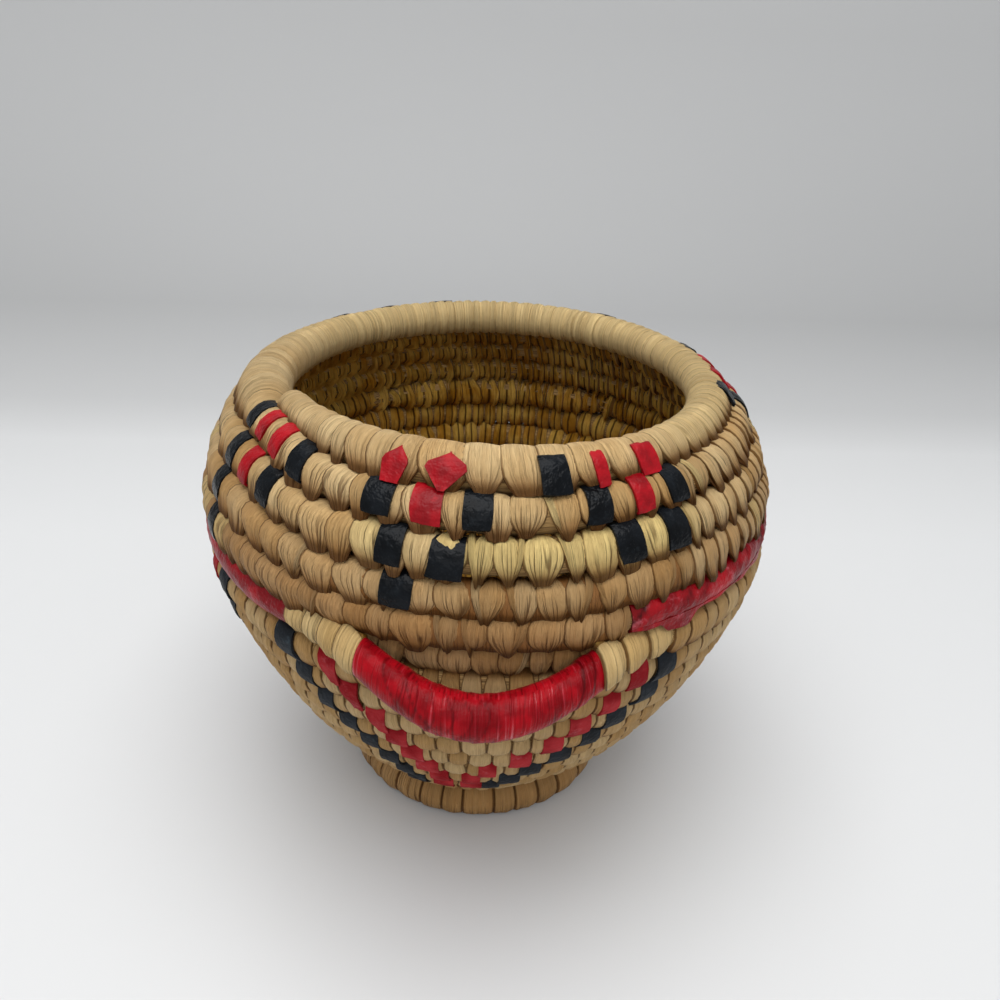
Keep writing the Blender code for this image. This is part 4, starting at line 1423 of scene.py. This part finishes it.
class BASKET_OT_stage(bpy.types.Operator):
    """Set up the floor, the backdrop, the lamps and the camera"""

    bl_idname = "basket.stage"
    bl_label = "Stage"

    def execute(self, context):
        self.make_sweep(context.scene.basket_colours)
        self.make_light(context)
        self.make_camera(context)
        context.scene.view_settings.view_transform = "Standard"
        return {"FINISHED"}

    def make_sweep(self, colours):
        """The paper floor, which curves up into the backdrop behind the basket."""
        sweep, column, row, _ = grid_sheet("paper_sweep", SWEEP_COLUMNS, SWEEP_ROWS)
        share = row / SWEEP_ROWS
        bent = np.clip((share - SWEEP_FLAT) / SWEEP_BEND, 0.0, 1.0) * math.pi / 2.0
        flat = np.minimum(share / SWEEP_FLAT, 1.0) * (SWEEP_START - SWEEP_FRONT)
        reach = SWEEP_FRONT + flat + SWEEP_RADIUS * np.sin(bent)
        upright = np.clip((share - (SWEEP_FLAT + SWEEP_BEND)) / SWEEP_UPRIGHT, 0.0, 1.0)
        rise = SWEEP_RADIUS * (1.0 - np.cos(bent)) + upright * SWEEP_HEIGHT
        side = (column / SWEEP_COLUMNS - 0.5) * SWEEP_WIDTH
        turned = CAMERA_YAW + SWEEP_TURN
        places = np.stack((side * math.cos(turned) + reach * math.sin(turned),
                           reach * math.cos(turned) - side * math.sin(turned), rise), axis=-1)
        set_places(sweep, places)
        set_attribute(sweep, "shade", by_steps(share, PAPER_SHADE))
        select_only(sweep)
        bpy.ops.object.shade_smooth()
        sweep.data.materials.append(paper_finish("floor_paper", colours.floor))

    def make_light(self, context):
        """An even pale world and two soft lamps that aim at the basket."""
        world = bpy.data.worlds.new("studio")
        world.use_nodes = True
        background = world.node_tree.nodes["Background"]
        background.inputs["Color"].default_value = opaque(WORLD_COLOUR)
        background.inputs["Strength"].default_value = WORLD_STRENGTH
        context.scene.world = world
        for name, place, size, power in LAMPS:
            lamp = bpy.data.lights.new(name, "AREA")
            lamp.size = size
            lamp.energy = power
            holder = bpy.data.objects.new(name, lamp)
            holder.location = place
            holder.rotation_euler = (LAMP_AIM - Vector(place)).to_track_quat("-Z", "Y").to_euler()
            context.scene.collection.objects.link(holder)

    def make_camera(self, context):
        """The camera at the photograph's place, with its small yaw and roll."""
        data = bpy.data.cameras.new("photo_camera")
        data.lens = CAMERA_LENS
        data.sensor_width = CAMERA_SENSOR
        data.clip_start = CAMERA_NEAR
        camera = bpy.data.objects.new("photo_camera", data)
        context.scene.collection.objects.link(camera)
        forward = Vector((math.sin(CAMERA_YAW) * math.cos(CAMERA_DOWN),
                          math.cos(CAMERA_YAW) * math.cos(CAMERA_DOWN), -math.sin(CAMERA_DOWN)))
        level = Vector((math.cos(CAMERA_YAW), -math.sin(CAMERA_YAW), 0.0))
        upright = level.cross(forward)
        right = level * math.cos(CAMERA_ROLL) + upright * math.sin(CAMERA_ROLL)
        up = upright * math.cos(CAMERA_ROLL) - level * math.sin(CAMERA_ROLL)
        turned = Matrix((right, up, -forward)).transposed().to_4x4()
        camera.matrix_world = Matrix.Translation(CAMERA_PLACE) @ turned
        context.scene.camera = camera


class BASKET_PT_panel(bpy.types.Panel):
    """The basket's makers in the sidebar"""

    bl_idname = "BASKET_PT_panel"
    bl_label = "Coiled Basket"
    bl_space_type = "VIEW_3D"
    bl_region_type = "UI"
    bl_category = "Basket"

    def draw(self, context):
        for operator in OPERATORS:
            self.layout.operator(operator.bl_idname)


OPERATORS = (BASKET_OT_bundle, BASKET_OT_wall_strands, BASKET_OT_rim, BASKET_OT_handles,
             BASKET_OT_sleeves, BASKET_OT_patches, BASKET_OT_zigzag, BASKET_OT_foot, BASKET_OT_stage)
CLASSES = (BasketSizes, BasketColours, *OPERATORS, BASKET_PT_panel)


def register():
    for one in CLASSES:
        bpy.utils.register_class(one)
    bpy.types.Scene.basket_sizes = bpy.props.PointerProperty(type=BasketSizes)
    bpy.types.Scene.basket_colours = bpy.props.PointerProperty(type=BasketColours)


def unregister():
    del bpy.types.Scene.basket_colours
    del bpy.types.Scene.basket_sizes
    for one in reversed(CLASSES):
        bpy.utils.unregister_class(one)


def main():
    register()
    bpy.ops.basket.bundle()
    bpy.ops.basket.wall_strands()
    bpy.ops.basket.rim()
    bpy.ops.basket.handles()
    bpy.ops.basket.sleeves()
    bpy.ops.basket.patches()
    bpy.ops.basket.zigzag()
    bpy.ops.basket.foot()
    bpy.ops.basket.stage()


if __name__ == "__main__":
    main()
